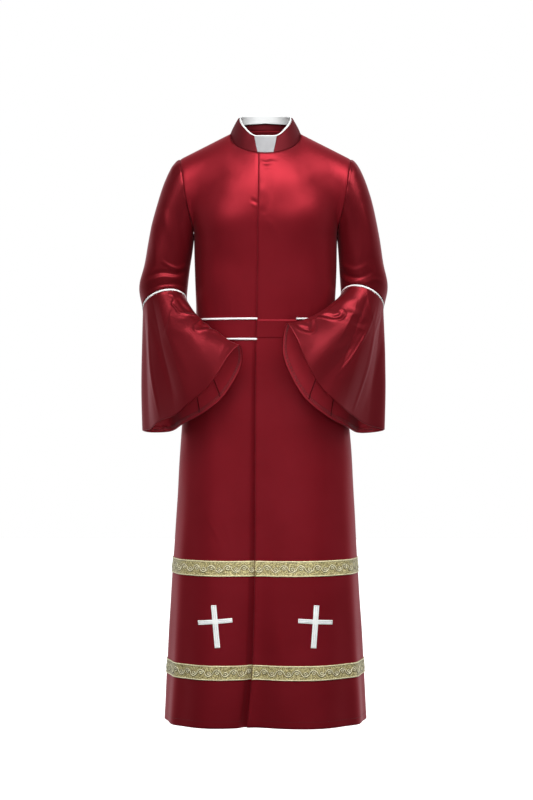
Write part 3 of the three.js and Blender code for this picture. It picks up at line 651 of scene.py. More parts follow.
def weave(tree, shader, threads, strength, distance, rough, diagonal=0.0):
    """Threads that cross each other as bump, in the cloth's own coordinates, and an uneven roughness."""
    place = node(tree, "ShaderNodeTexCoord").outputs
    waves = []
    for turn in (diagonal, diagonal + math.pi / 2):
        mapping = node(tree, "ShaderNodeMapping", Vector=place["UV"], Rotation=(0, 0, turn))
        wave = node(tree, "ShaderNodeTexWave", Vector=mapping.outputs["Vector"],
                    Scale=threads / (2 * math.pi), Distortion=0.6, Detail=1.0, Detail_Scale=2.0)
        waves.append(wave.outputs["Fac"])
    slub = node(tree, "ShaderNodeTexNoise", Vector=place["UV"], Scale=260.0, Detail=2.0)
    height = combine(tree, "ADD", combine(tree, "MULTIPLY", *waves), slub.outputs["Fac"])
    bump = node(tree, "ShaderNodeBump", Height=height, Strength=strength, Distance=distance)
    tree.links.new(bump.outputs["Normal"], shader.inputs["Normal"])
    cloud = node(tree, "ShaderNodeTexNoise", Vector=place["Object"], Scale=9.0, Detail=3.0)
    span = node(tree, "ShaderNodeMapRange", Value=cloud.outputs["Fac"], To_Min=rough[0], To_Max=rough[1])
    tree.links.new(span.outputs["Result"], shader.inputs["Roughness"])


def satin_material(name, base, other, metallic, rough):
    material, tree, shader = new_material(
        name, Metallic=metallic, IOR=1.5, Specular_IOR_Level=0.3, Specular_Tint=(1.0, 0.6, 0.65, 1),
        Anisotropic=0.2, Sheen_Weight=0.06, Sheen_Roughness=0.4, Sheen_Tint=(1.0, 0.4, 0.45, 1))
    tree.links.new(mottle(tree, base, other, 7.0), shader.inputs["Base Color"])
    weave(tree, shader, 1900.0, 0.16, 0.0002, rough)
    return material


def cloth_material(name, base, other, threads, rough, strength):
    material, tree, shader = new_material(name, Sheen_Weight=0.2, Sheen_Roughness=0.5, IOR=1.45,
                                          Specular_IOR_Level=0.3)
    tree.links.new(mottle(tree, base, other, 40.0), shader.inputs["Base Color"])
    weave(tree, shader, threads, strength, 0.0003, rough)
    return material


def gold_material(name, base, other, metallic, rough, threads):
    material, tree, shader = new_material(name, Metallic=metallic, IOR=1.5, Sheen_Weight=0.15)
    tree.links.new(mottle(tree, base, other, 420.0, 2.0, 0.42, 0.58), shader.inputs["Base Color"])
    weave(tree, shader, threads, 0.5, 0.0004, rough, diagonal=math.radians(35))
    return material


# name, the two colours it drifts between, how metallic it looks, roughness
SATIN = satin_material(
    "burgundy_satin_weave", (0.245, 0.0100, 0.0175), (0.27, 0.0125, 0.0215), 0.62, (0.37, 0.45))
# the same satin on the sleeves and bells, a little glossier, with its colour made darker as painted shade
SATIN_SLEEVE_SHADED = satin_material(
    "burgundy_satin_sleeve_painted_shade", (0.160, 0.0070, 0.0118), (0.182, 0.0088, 0.0146), 0.62, (0.30, 0.37))
# the other side of the satin is matt
SATIN_BACK = satin_material(
    "burgundy_satin_other_side", (0.26, 0.0125, 0.020), (0.30, 0.016, 0.026), 0.0, (0.6, 0.7))
# a duller satin for the collar, with its colour darkened as painted shade against the key light the collar
# faces; the seams inside the bells use it too, as lines of painted shade
SATIN_DULL_SHADED = satin_material(
    "burgundy_satin_dull_painted_shade", (0.095, 0.0035, 0.007), (0.115, 0.005, 0.009), 0.5, (0.5, 0.58))
# name, two colours, fineness of the threads, roughness, strength of the weave
WHITE = cloth_material(
    "white_cloth_weave", (0.86, 0.88, 0.88), (0.92, 0.94, 0.94), 1500.0, (0.6, 0.75), 0.15)
# the same white cloth on the crosses, made a little darker to suit the light at the lower skirt: painted
# shade
CROSS_WHITE_SHADED = cloth_material(
    "white_cross_weave_painted_shade", (0.76, 0.78, 0.77), (0.84, 0.86, 0.85), 1500.0, (0.6, 0.75), 0.15)
# the same white cloth on the collar's tab, made far darker as painted shade, since the tab faces the key
# light
TAB_WHITE_SHADED = cloth_material(
    "white_tab_weave_painted_shade", (0.335, 0.335, 0.345), (0.365, 0.365, 0.375), 1800.0, (0.5, 0.6), 0.1)
PIPING_WHITE = cloth_material(
    "white_piping_twist", (0.93, 0.93, 0.93), (0.97, 0.97, 0.97), 900.0, (0.6, 0.75), 0.12)
THREAD_GREY = cloth_material(
    "grey_thread", (0.42, 0.43, 0.44), (0.5, 0.5, 0.51), 2400.0, (0.6, 0.75), 0.4)
THREAD_PALE = cloth_material(
    "pale_thread", (0.27, 0.28, 0.29), (0.35, 0.36, 0.37), 2400.0, (0.6, 0.75), 0.4)
# burgundy thread, darker than the satin: partly its own colour and partly painted shade of the small groove
# the stitches sink into
THREAD_RED_SHADED = cloth_material(
    "burgundy_thread_painted_shade", (0.055, 0.004, 0.007), (0.075, 0.005, 0.009), 2400.0, (0.5, 0.65), 0.4)
# name, two colours, how metallic, roughness, fineness of the threads
GOLD_GROUND = gold_material(
    "gold_brocade_ground", (0.20, 0.16, 0.05), (0.70, 0.62, 0.31), 0.2, (0.42, 0.55), 1100.0)
GOLD_THREAD = gold_material(
    "gold_brocade_thread", (0.88, 0.81, 0.51), (0.97, 0.91, 0.62), 0.25, (0.35, 0.45), 1800.0)
# a dark olive laid as a flat ribbon under each scroll line: the painted shadow beside the raised scroll
GOLD_SCROLL_SHADOW = gold_material(
    "gold_brocade_painted_shadow", (0.085, 0.066, 0.016), (0.13, 0.105, 0.03), 0.2, (0.45, 0.55), 1800.0)


# ---- Pieces ----


def dress(obj, material, slot, *nodes, other_side=None):
    obj.data.materials.append(material)
    if other_side is not None:
        obj.data.materials.append(other_side)
    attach(obj, "root")
    if nodes:
        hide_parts(*nodes)
    return obj


YOKE_LEVELS = np.linspace(SEAM / 2 / SHOULDER_ROUNDING, 1, 46)
BODY_LEVELS = np.concatenate([YOKE_LEVELS, np.linspace(1, level_of(HEM_Z), 236)[1:]])
SIDE_REACH = 1 - SEAM / 2 / QUARTER_GIRTH
HEM_TURN, HEM_STITCH = 28, 15  # the turned-up hem, and the height of the stitches that hold it
SHOULDER_COLUMNS = 28


def hem_thickness(level):
    """The cloth is turned up and sewn along the hem."""
    top = HEM_Z + HEM_TURN
    return CLOTH + 1.5 * smoothstep(top + 2, top - 2, height_of(level))


# how finely the stitches, belt and bands that run across each panel are divided
HEM_COLUMNS = {"left": 121, "right": 121, "back": 241}
BELT_COLUMNS = {"left": 80, "right": 80, "back": 150}
TRIM_COLUMNS = {"left": 121, "right": 121, "back": 221}


def panel_name(which):
    return "back" if which == "back" else f"front_{which}"


def panel_reaches(level, first, last, neck_columns, side):
    """Reaches of a front's columns at each level. One column runs through the corner of the neckline."""
    share = np.linspace(0, 1, neck_columns + 1)
    neck = lerp(first, side * NECK_SHARE, share[None, :])
    shoulder = np.linspace(side * NECK_SHARE, last, SHOULDER_COLUMNS + 1)[1:]
    shoulder = np.broadcast_to(shoulder, (len(level), SHOULDER_COLUMNS))
    return np.concatenate([neck, shoulder], axis=1)


def seam_dip(reach, level):
    """Both sides of the armhole seam turn in a little."""
    away = (SIDE_REACH - np.abs(reach)) * QUARTER_GIRTH
    return 1.1 * np.exp(-((away / 4) ** 2)) * (level < 1)


def edge_ripple(reach, edge, level):
    """The stitches of the placket draw its edge into small ripples."""
    away = (reach - edge) / reach_per_mm(level)
    z = height_of(level)
    wave = np.sin(z / 2.7 + 1.3 * np.sin(z / 19)) * (0.6 + 0.4 * np.sin(z / 31))
    return 0.4 * wave * np.exp(-((away - 7) / 7) ** 2)


def soften(points, reach, level):
    """Takes the faint ridge below the collar's corners out of a panel."""
    smooth = points.copy()
    for _ in range(30):
        smooth[:, 1:-1] = (smooth[:, :-2] + 2 * smooth[:, 1:-1] + smooth[:, 2:]) / 4
    reach = np.abs(reach)
    share = smoothstep(0.26, 0.4, reach) * smoothstep(0.78, 0.62, reach) * smoothstep(0.02, 0.2, level)
    share = share * smoothstep(1.4, 0.9, level)
    return lerp(points, smooth, share[..., None])


def build_panels():
    level = BODY_LEVELS[:, None]
    edge = edge_reach(BODY_LEVELS)[:, None]
    reach = panel_reaches(BODY_LEVELS, edge, SIDE_REACH, 32, 1)
    points, normals = body_patch(reach, level, False)
    points = points + normals * (edge_ripple(reach, edge, level) - seam_dip(reach, level))[..., None]
    points = soften(points, reach, level)
    thick = hem_thickness(level) + 0.5 * np.exp(-((reach - edge) / reach_per_mm(level) / 5) ** 2)
    left = shell("front_left_cloth", points, grid_normals(points, flip=True), thick)
    dress(left, SATIN, "burgundy_satin", "front_left", other_side=SATIN_BACK)

    per_mm = reach_per_mm(BODY_LEVELS)[:, None]
    under_edge = edge - SEAM * per_mm
    reach = panel_reaches(BODY_LEVELS, under_edge, -SIDE_REACH, 38, -1)[:, ::-1]
    under = under_edge + UNDERLAP * per_mm * np.linspace(0, 1, 9)[None, 1:]
    reach = np.concatenate([reach, under], axis=1)
    right_points = soften(body_patch(reach, level, False, sink=True)[0], reach, level)
    right_normals = grid_normals(right_points, flip=True)
    right_points = right_points - right_normals * seam_dip(reach, level)[..., None]
    right = shell("front_right_cloth", right_points, right_normals, hem_thickness(level))
    dress(right, SATIN, "burgundy_satin", "front_right", other_side=SATIN_BACK)

    neck = np.linspace(-NECK_SHARE, NECK_SHARE, 57)
    shoulder = np.linspace(NECK_SHARE, SIDE_REACH, SHOULDER_COLUMNS + 1)[1:]
    reach = np.concatenate([-shoulder[::-1], neck, shoulder])[None, :]
    reach = np.broadcast_to(reach, (len(BODY_LEVELS), reach.shape[1]))
    back_points, back_normals = body_patch(reach, level, True)
    back_points = soften(back_points - back_normals * seam_dip(reach, level)[..., None], reach, level)
    back = shell("back_cloth", back_points, grid_normals(back_points), hem_thickness(level))
    dress(back, SATIN, "burgundy_satin", "back", other_side=SATIN_BACK)

    for which, columns in HEM_COLUMNS.items():
        stitch_hem(which, columns)


def stitch_hem(which, columns):
    """A line of stitches that holds the turned-up hem."""
    z = HEM_Z + HEM_STITCH
    points, normals = band_patch(which, z + 3, z - 3, columns, 2)
    lengths = distances_along(points[1])

    def on_cloth(u, v):
        return sample_grid(points, normals, 1 + v, np.interp(u, lengths, np.arange(len(lengths))))

    stitched(f"{panel_name(which)}_hem_stitching", [[(4, 0), (lengths[-1] - 4, 0)]], on_cloth, 0.12, 0.32,
             THREAD_RED_SHADED, "burgundy_satin", pitch=4)


def span_reach(which, level, count, from_x=None):
    """Reaches across one panel at some levels, from its edge or side to its other side."""
    if which == "back":
        return np.broadcast_to(np.linspace(-SIDE_REACH, SIDE_REACH, count), (len(level), count))
    edge = edge_reach(level)
    if which == "left":
        first = edge if from_x is None else from_x * reach_per_mm(level)
        return lerp(first[:, None], SIDE_REACH, np.linspace(0, 1, count)[None, :])
    last = (edge - SEAM * reach_per_mm(level))[:, None]
    return lerp(-SIDE_REACH, last, np.linspace(0, 1, count)[None, :])


def band_patch(which, top, bottom, columns, rows, from_x=None):
    """The cloth of one panel between two heights."""
    level = level_of(np.linspace(top, bottom, rows + 1))
    reach = span_reach(which, level, columns, from_x)
    return body_patch(reach, level[:, None], which == "back", sink=which == "right")


def build_belt():
    for which, columns in BELT_COLUMNS.items():
        panel = panel_name(which)
        points, normals = band_patch(which, BELT_TOP, BELT_BOTTOM, columns, 12)
        belt = shell(f"belt_{panel}_cloth", points, normals, LAID, lift=SEAM + LAID)
        dress(belt, SATIN, "burgundy_satin", f"belt_{panel}")
        start = BELT_TAB_END if which == "left" else None
        for edge, z in (("top", PIPING_TOP), ("bottom", PIPING_BOTTOM)):
            name = f"belt_piping_{edge}_{which}"
            points, normals = band_patch(which, z + 3, z - 3, columns, 2, start)
            made = cord(f"{name}_cord", points[1] + normals[1] * (SEAM + PIPING), normals[1], PIPING)
            dress(made, PIPING_WHITE, "white_piping", name)


SCROLL_PITCH, SCROLL_RISE, SCROLL_CURL = 19.5, 7.6, 6.0
SCROLL_SHADOW_SPREAD = 1.6  # how far the painted shadow, a dark flat ribbon under each scroll line, reaches beside the scroll


def spiral_line(turns, radius, inner, start, hand, centre):
    t = np.linspace(0, 1, int(26 * turns))
    angle = start + hand * turns * 2 * np.pi * t
    r = lerp(radius, inner, t ** 0.8)
    return np.stack([centre[0] + r * np.cos(angle), centre[1] + r * np.sin(angle)], axis=1)


def scroll_lines(length, height):
    """A running scroll on a band: a wave with a curl under each of its bends, between two borders."""
    count = max(int(round(length / SCROLL_PITCH)), 2)
    pitch = length / count
    lines = []
    for k in range(count):
        side = 1 if k % 2 else -1
        centre = ((k + 0.5) * pitch, side * (SCROLL_RISE - SCROLL_CURL))
        lines.append((spiral_line(1.35, SCROLL_CURL, 1.2, side * np.pi / 2, -side, centre), 1.05, True))
    u = np.linspace(2, length - 2, count * 16)
    wave = np.sin(np.pi * u / pitch)
    lines.append((np.stack([u, -SCROLL_RISE * np.sign(wave) * np.abs(wave) ** 0.65], axis=1), 1.25, True))
    for v in (-height / 2 + 1.5, height / 2 - 1.5):
        lines.append((np.stack([u, np.full_like(u, v)], axis=1), 1.3, False))
    return lines


def build_trims():
    for trim, (top, bottom) in TRIMS.items():
        for which, columns in TRIM_COLUMNS.items():
            node_name = f"{trim}_{which}"
            points, normals = band_patch(which, top, bottom, columns, 16)
            band = shell(f"{node_name}_band", points, normals, LAID, lift=SEAM + LAID)
            dress(band, GOLD_GROUND, "gold_brocade", node_name)
            lengths = distances_along(points[len(points) // 2])
            height = top - bottom
            parts, scroll_shadows = [], []
            for line, radius, shadowed in scroll_lines(lengths[-1], height):
                column = np.interp(line[:, 0], lengths, np.arange(len(lengths)))
                row = np.clip((height / 2 - line[:, 1]) / height, 0, 1) * (len(points) - 1)
                where, facing = sample_grid(points, normals, row, column)
                path = where + facing * (SEAM + LAID + 0.15)
                parts.append(tube_parts(path, facing, radius, 4, flatten=0.75))
                if shadowed:
                    # a dark flat ribbon under the line, as its painted shadow
                    low = where + facing * (SEAM + LAID + 0.05)
                    scroll_shadows.append(tube_parts(low, facing, radius + SCROLL_SHADOW_SPREAD, 4, flatten=0.16))
            dress(join_parts(f"{node_name}_scroll", parts), GOLD_THREAD, "gold_brocade")
            dress(join_parts(f"{node_name}_scroll_painted_shadow", scroll_shadows), GOLD_SCROLL_SHADOW, "gold_brocade")


def sample_grid(points, normals, row, column):
    """Points and normals between those of a grid."""
    r = np.clip(np.floor(row).astype(int), 0, points.shape[0] - 2)
    c = np.clip(np.floor(column).astype(int), 0, points.shape[1] - 2)
    a, b = (row - r)[..., None], (column - c)[..., None]
    grids = [lerp(lerp(g[r, c], g[r + 1, c], a), lerp(g[r, c + 1], g[r + 1, c + 1], a), b)
             for g in (points, normals)]
    return grids[0], unit(grids[1])


def cloth_under_cross(x, z, turn):
    """Gives the cloth u mm across and v mm down a leaning cross, whose top is at x and z."""
    heights = np.linspace(z + 40, z - 150, 96)
    level = level_of(heights)[:, None]
    reach = np.linspace(x - 75, x + 75, 76) * reach_per_mm(level)
    points, normals = body_patch(reach, level, False)

    def on_cloth(u, v):
        px = x + u * math.cos(turn) + v * math.sin(turn)
        pz = z + u * math.sin(turn) - v * math.cos(turn)
        row = (heights[0] - pz) / (heights[0] - heights[-1]) * (len(heights) - 1)
        low = np.clip(row.astype(int), 0, len(heights) - 2)
        xs = lerp(points[low, :, 0], points[low + 1, :, 0], (row - low)[..., None])
        column = np.array([np.interp(p, line, np.arange(len(line))) for p, line in
                           zip(px.ravel(), xs.reshape(-1, xs.shape[-1]))]).reshape(px.shape)
        return sample_grid(points, normals, row, column)

    return on_cloth


CROSS_THICK, CROSS_SWELL, CROSS_ROUNDING = 0.35, 0.45, 1.2  # at its edge, and more within, over how far


def divide(stops, counts):
    """Places from the first stop to the last, with a count of them from each stop to the next."""
    spans = [np.linspace(start, end, count) for start, end, count in zip(stops, stops[1:], counts)]
    return np.unique(np.round(np.concatenate(spans), 4))


def build_cross(name, on_cloth):
    """A cross as one thin plate with soft edges."""
    height, span, upright, arm, below, lift = CROSS.values()
    us = divide([-span / 2, -upright / 2, upright / 2, span / 2], [42, 14, 42])
    vs = divide([0, below - arm / 2, below + arm / 2, height], [34, 12, 64])
    u, v = np.meshgrid(us, vs)
    where, facing = on_cloth(u, v)
    edge_upright = upright / 2 - np.abs(u)
    edge_arm = arm / 2 - np.abs(v - below)
    inside = np.maximum(np.minimum(edge_upright, np.minimum(v, height - v)),
                        np.minimum(edge_arm, span / 2 - np.abs(u)))
    swell = CROSS_SWELL * smoothstep(-0.01, CROSS_ROUNDING, inside)
    outer = where + facing * (lift + CROSS_THICK + swell)[..., None]
    inner = where + facing * lift
    has = (np.abs((us[:-1] + us[1:]) / 2)[None, :] < upright / 2) | (
        np.abs((vs[:-1] + vs[1:]) / 2 - below)[:, None] < arm / 2)
    rows, columns = u.shape
    layer = rows * columns
    faces, uvs = [], []
    uv = np.stack([u, -v], axis=-1)
    for r, c in zip(*np.nonzero(has)):
        ring = [(r, c), (r + 1, c), (r + 1, c + 1), (r, c + 1)]
        top = [i * columns + j for i, j in ring]
        faces += [top, [layer + t for t in top[::-1]]]
        ring_uv = [uv[i, j] for i, j in ring]
        uvs += [ring_uv, ring_uv[::-1]]
        beside = [(r, c - 1), (r + 1, c), (r, c + 1), (r - 1, c)]
        for k, (i, j) in enumerate(beside):
            if 0 <= i < rows - 1 and 0 <= j < columns - 1 and has[i, j]:
                continue
            a, b = top[k], top[(k + 1) % 4]
            faces.append([b, a, layer + a, layer + b])
            uvs.append([ring_uv[(k + 1) % 4], ring_uv[k], ring_uv[k], ring_uv[(k + 1) % 4]])
    faces, uvs = np.array(faces), np.array(uvs)
    used = np.unique(faces)
    points = np.concatenate([outer.reshape(-1, 3), inner.reshape(-1, 3)])[used]
    faces = np.searchsorted(used, faces)
    r, c = 20, 43  # a face of the upright
    if np.dot(np.cross(outer[r + 1, c] - outer[r, c], outer[r, c + 1] - outer[r, c]), facing[r, c]) < 0:
        faces, uvs = faces[:, ::-1], uvs[:, ::-1]
    plate = add_mesh(f"{name}_cloth", points, faces, uvs)
    dress(plate, CROSS_WHITE_SHADED, "white_cloth", name)
    stitch_cross(name, on_cloth)


def stitch_cross(name, on_cloth):
    """Two lines of stitches along every limb of a cross, and one across its end."""
    height, span, upright, arm, below, lift = CROSS.values()
    lines = []
    half, bar, tip = upright / 2, arm / 2, 2.4
    for side in (-1, 1):
        for v0, v1 in ((1.2, below - bar - 0.6), (below + bar + 0.6, height - 1.2)):
            lines.append([(side * half * 0.36, v0), (side * half * 0.36, v1)])
        for u0, u1 in ((-span / 2 + 1.2, -half - 0.6), (half + 0.6, span / 2 - 1.2)):
            lines.append([(u0, below + side * bar * 0.36), (u1, below + side * bar * 0.36)])
        end = side * (span / 2 - tip)
        lines.append([(end, below - bar + 1.6), (end, below + bar - 1.6)])
    for v in (tip, height - tip):
        lines.append([(-half + 1.6, v), (half - 1.6, v)])
    stitched(f"{name}_stitching", lines, on_cloth, lift + 0.86, 0.5, THREAD_PALE, "white_cloth")


def stitched(name, lines, on_cloth, lift, radius, material, slot, pitch=2.6, gap=0.5):
    """Lines of short stitches, each a small thread that dips at its ends."""
    parts = []
    for line in lines:
        line = np.array(line, float)
        lengths = distances_along(line)
        count = max(int(lengths[-1] / pitch), 1)
        for k in range(count):
            s = np.linspace(k + gap / 2 / pitch, k + 1 - gap / 2 / pitch, 5) / count * lengths[-1]
            u, v = (np.interp(s, lengths, line[:, i]) for i in (0, 1))
            where, facing = on_cloth(u, v)
            dip = radius * 1.1 * np.array([1, 0.15, 0, 0.15, 1])
            parts.append(tube_parts(where + facing * (lift - dip)[:, None], facing, radius, 4, flatten=0.8))
    dress(join_parts(name, parts), material, slot)


def collar_point(angle, height):
    """A point of the collar: height 0 on the neckline, 1 on the collar's upper edge."""
    angle = np.asarray(angle, float)
    fold = np.abs((angle + 540) % 360 - 180)
    turn = np.radians(angle)
    sine, cosine = np.sin(turn), np.cos(turn)
    half_width, front, back = COLLAR_TOP
    depth = np.where(cosine > 0, front, back)
    edge = stack(half_width * sine, -depth * cosine, read_table(COLLAR_EDGE, fold)[0])
    base = neckline_point(angle) + (0, 0, SEAM + 0.2)
    return lerp(base, edge, np.asarray(height, float)[..., None])


def build_collar():
    heights = np.linspace(0, 1, 19)[:, None]
    gap = lerp(*COLLAR_GAP, heights)
    points = collar_point(lerp(gap, 360 - gap, np.linspace(0, 1, 121)[None, :]), heights)
    normals = grid_normals(points)
    bow = 0.9 * np.sin(np.pi * heights) + undulation(points, 11, 0.35, 90, 30, 1.0)
    points = points + normals * bow[..., None]
    collar = shell("collar_cloth", points, grid_normals(points), COLLAR_THICK)
    dress(collar, SATIN_DULL_SHADED, "burgundy_satin", "collar")


def build_collar_tab():
    heights = np.linspace(0.02, 1, 19)[:, None]
    gap = lerp(*COLLAR_GAP, heights) - 0.27
    points = collar_point(lerp(-gap, gap, np.linspace(0, 1, 31)[None, :]), heights)
    normals = grid_normals(points)
    tab = shell("collar_tab_cloth", points, normals, LAID)
    dress(tab, TAB_WHITE_SHADED, "white_cloth", "collar_tab")

    rows, columns = points.shape[0] - 1, points.shape[1] - 1
    # the stitching runs round the tab: across it from -1 to 1, and up it from 0 to 1
    outline = [(-0.86, 0.05), (-0.86, 0.93), (0.86, 0.93), (0.86, 0.05), (-0.86, 0.05)]
    parts = []
    for start, end in zip(outline, outline[1:]):
        u, v = np.linspace(start, end, 9).T
        where, facing = sample_grid(points, normals, v * rows, (u + 1) / 2 * columns)
        parts.append(tube_parts(where + facing * 0.1, facing, 0.32, 4, flatten=0.7))
    dress(join_parts("collar_tab_stitching", parts), THREAD_GREY, "white_cloth")


def build_collar_band():
    points = collar_point(np.arange(0, 360, 3), np.linspace(0.5, 1.1, 15)[:, None])
    normals = grid_normals(points, closed=True)
    band = shell("collar_band_cloth", points, normals, LAID, closed=True, lift=-BAND_INSET)
    dress(band, WHITE, "white_cloth", "collar_band")


# ---- Sleeves ----

# Creases of the upper sleeves as the camera sees them: width, height, then x and z along the line
SLEEVE_CREASES = {
    "right": [
        (11, 2.4, (-246, -150), (-229, -205), (-212, -262)),
        (8, -2.0, (-208, -160), (-199, -211), (-188, -262)),
        (9, 1.4, (-268, -180), (-268, -230), (-262, -285)),
        (5, 2.4, (-250, -272), (-228, -287), (-208, -292), (-188, -281)),
        (6, -3.4, (-282, -312), (-250, -301), (-215, -304), (-186, -298)),
        (6, 2.0, (-292, -330), (-266, -316), (-236, -312), (-202, -318)),
        (5, -2.6, (-284, -345), (-250, -330), (-212, -329), (-186, -337)),
        (5, 1.2, (-262, -348), (-232, -341), (-206, -342), (-190, -351)),
        (5, 1.4, (-212, -42), (-222, -50), (-226, -66)),
    ],
    "left": [
        (11, 2.2, (236, -135), (250, -205), (256, -268)),
        (9, -1.8, (214, -150), (220, -205), (222, -258)),
        (9, 1.3, (196, -150), (198, -205), (196, -255)),
        (6, 2.0, (174, -271), (193, -288), (218, -294), (248, -280)),
        (6, -3.6, (174, -293), (198, -309), (226, -312), (258, -298)),
        (5, 2.2, (176, -309), (202, -325), (234, -328), (264, -318), (286, -326)),
        (5, -2.6, (196, -342), (226, -345), (256, -338)),
        (5, 1.4, (206, -42), (216, -50), (220, -66)),
    ],
}
# The same at the back: width, height, then angle on the sleeve (0 outside, -90 behind) and share of length
BACK_OF_SLEEVE = [
    (11, 1.8, (-60, 0.12), (-64, 0.36), (-60, 0.62)),
    (9, -1.6, (-100, 0.16), (-96, 0.40), (-102, 0.60)),
    (7, 2.2, (-30, 0.78), (-75, 0.74), (-120, 0.82)),
    (6, -2.2, (-25, 0.88), (-70, 0.85), (-115, 0.92)),
    (7, 1.8, (-50, 0.60), (-90, 0.64), (-130, 0.72)),
]
# Creases of the bells as the camera sees them: width, height, then x and z along the line
BELL_CREASES = {
    "right": [
        # the cloth is full round the elbow, and hangs straight below it
        (40, 5.0, (-236, -420), (-186, -434), (-136, -450), (-96, -468)),
        # one sharp fold winds down from the elbow seam to the wrist, with hollows beside it
        (2.8, 2.0, (-234, -351), (-222, -355), (-219, -364), (-224, -376), (-215, -387), (-207, -397),
         (-191, -401)),
        (2.8, 2.2, (-207, -397), (-191, -401), (-174, -403), (-161, -409), (-156, -416), (-162, -423)),
        (2.8, 2.2, (-156, -416), (-163, -424), (-171, -432), (-170, -440), (-162, -443), (-150, -441),
         (-137, -438)),
        (3.6, 2.8, (-150, -441), (-137, -439), (-125, -444), (-104, -453), (-86, -466)),
        (6, -4.0, (-209, -362), (-199, -379), (-183, -392), (-166, -396)),
        (5, -3.8, (-146, -414), (-153, -430), (-142, -434), (-122, -438)),
        (7, -1.8, (-228, -400), (-206, -412), (-182, -414)),
        (12, 1.6, (-236, -432), (-208, -440), (-182, -436)),
        (14, 1.6, (-140, -458), (-114, -468), (-90, -484)),
        (3, 1.6, (-284, -440), (-280, -500), (-270, -575), (-256, -650)),
        (7, -1.4, (-276, -410), (-256, -470), (-236, -540), (-214, -610)),
        (9, -1.2, (-250, -440), (-222, -500), (-190, -560)),
    ],
    "left": [
        (50, -7.0, (60, -396), (120, -404), (186, -394), (250, -380)),
        (34, -7.0, (216, -430), (178, -500), (140, -560), (108, -610)),
        (2.8, 1.9, (71, -430), (83, -439), (98, -443), (112, -445), (118, -442), (122, -433), (121, -422)),
        (2.8, 1.9, (122, -435), (121, -422), (118, -412), (124, -406), (137, -405), (152, -409), (167, -412)),
        (2.8, 1.9, (137, -405), (152, -409), (167, -412), (180, -412), (188, -407), (193, -400),
         (190, -392), (181, -385)),
        (2.4, 1.6, (94, -420), (104, -416), (113, -418)),
        (5, -4.2, (71, -421), (90, -433), (108, -437), (114, -424), (113, -412)),
        (5, -4.2, (128, -399), (148, -401), (169, -405), (182, -400), (183, -388)),
        (9, 2.4, (192, -396), (210, -399), (232, -400)),
        (12, 2.0, (178, -368), (200, -366), (222, -372)),
        (8, -1.6, (204, -420), (230, -424), (250, -420)),
        (2.8, 1.5, (265, -382), (251, -427), (224, -478), (200, -515), (168, -552)),
        (7, -1.0, (252, -396), (236, -430), (216, -462), (184, -508), (156, -544)),
        (2.8, 1.8, (278, -400), (263, -443), (244, -530), (227, -587), (210, -636)),
        (7, -1.2, (288, -430), (272, -500), (252, -580), (236, -636)),
        (10, 1.2, (224, -451), (200, -472), (164, -490)),
    ],
}
# The same at the back: width, height, then station on the rim and share of the length
BACK_OF_BELL = [
    (12, 2.2, (9.0, 0.15), (9.2, 0.50), (9.0, 0.85)),
    (11, -2.0, (10.0, 0.20), (10.2, 0.55), (10.3, 0.85)),
    (12, 2.2, (11.2, 0.15), (11.4, 0.50), (11.8, 0.85)),
    (10, -2.0, (12.4, 0.20), (12.6, 0.55), (13.0, 0.85)),
    (10, 1.8, (13.6, 0.20), (13.8, 0.50), (14.0, 0.80)),
]

SLEEVE_COLUMNS, BELL_COLUMNS = 132, 252
HEM_SHARE = 0.956  # where the turned-up hem of a bell begins, as a share of the bell's length
# seams inside the bells: station on the rim, and the share of the length where each begins
BELL_SEAMS = [(11.7, 0.70), (12.75, 0.72)]


def elbow_point(sleeve, angle):
    turn = np.radians(angle)
    sine, cosine = np.sin(turn), np.cos(turn)
    x, y, z = sleeve["elbow"]
    return stack(sleeve["side"] * (x + sleeve["half_width"] * cosine), y - sleeve["half_depth"] * sine,
                 z - sleeve["outer_drop"] * cosine + sleeve["front_rise"] * sine)


def upper_sleeve_point(sleeve, angle, along):
    angle, along = np.broadcast_arrays(np.asarray(angle, float), np.asarray(along, float))
    side = sleeve["side"]
    turn = angle % 360
    cosine = np.cos(np.radians(turn))
    is_back = turn > 180
    share = np.where(is_back, 360 - turn, turn) / 180
    in_front = armhole_point(share, side, False)
    armhole = np.where(is_back[..., None], armhole_point(share, side, True), in_front)

    def lean(outwards, more_outwards, upwards, more_upwards):
        return stack(side * (outwards + more_outwards * cosine), 0, upwards + more_upwards * cosine)

    start = armhole + np.array(ARMHOLE_GAP) * (side, 1, 1)
    leave = start + lean(*SLEEVE_START)
    end = elbow_point(sleeve, turn)
    arrive = end + lean(*SLEEVE_END)
    t = along[..., None]
    s = 1 - t
    point = start * s ** 3 + leave * 3 * s * s * t + arrive * 3 * s * t * t + end * t ** 3
    height, at, width = ELBOW_BULGE
    point[..., 0] += side * height * np.exp(-(((along - at) / width) ** 2)) * np.maximum(cosine, 0)
    return point


def bell_point(sleeve, station, along):
    station, along = np.broadcast_arrays(np.asarray(station, float), np.asarray(along, float))
    rim = np.array(sleeve["rim"], float)
    count = len(rim)
    station = station % count
    i = np.floor(station).astype(int)
    share = station - i
    following = np.vstack([rim, rim[:1]])
    following[-1, 0] -= 360
    ring, sag, out = (lerp(rim[i, k], following[i + 1, k], share) for k in (0, 4, 5))
    top = elbow_point(sleeve, ring)
    bottom = curve_at(rim[:, 1:4] * (sleeve["side"], 1, 1), station, True)
    middle = (top + bottom) / 2
    middle[..., 2] -= sag
    middle = middle + unit(middle * (1, 1, 0)) * out[..., None]
    t = along[..., None]
    return top * (1 - t) ** 2 + middle * 2 * t * (1 - t) + bottom * t * t


def tube_patch(surface, across, down, relief, flip):
    """Points and outward normals of a closed surface, with its relief."""
    points = surface(across[None, :], down[:, None])
    normals = grid_normals(points, closed=True, flip=flip)
    points = points + normals * relief(points, normals)[..., None]
    return points, grid_normals(points, closed=True, flip=flip)


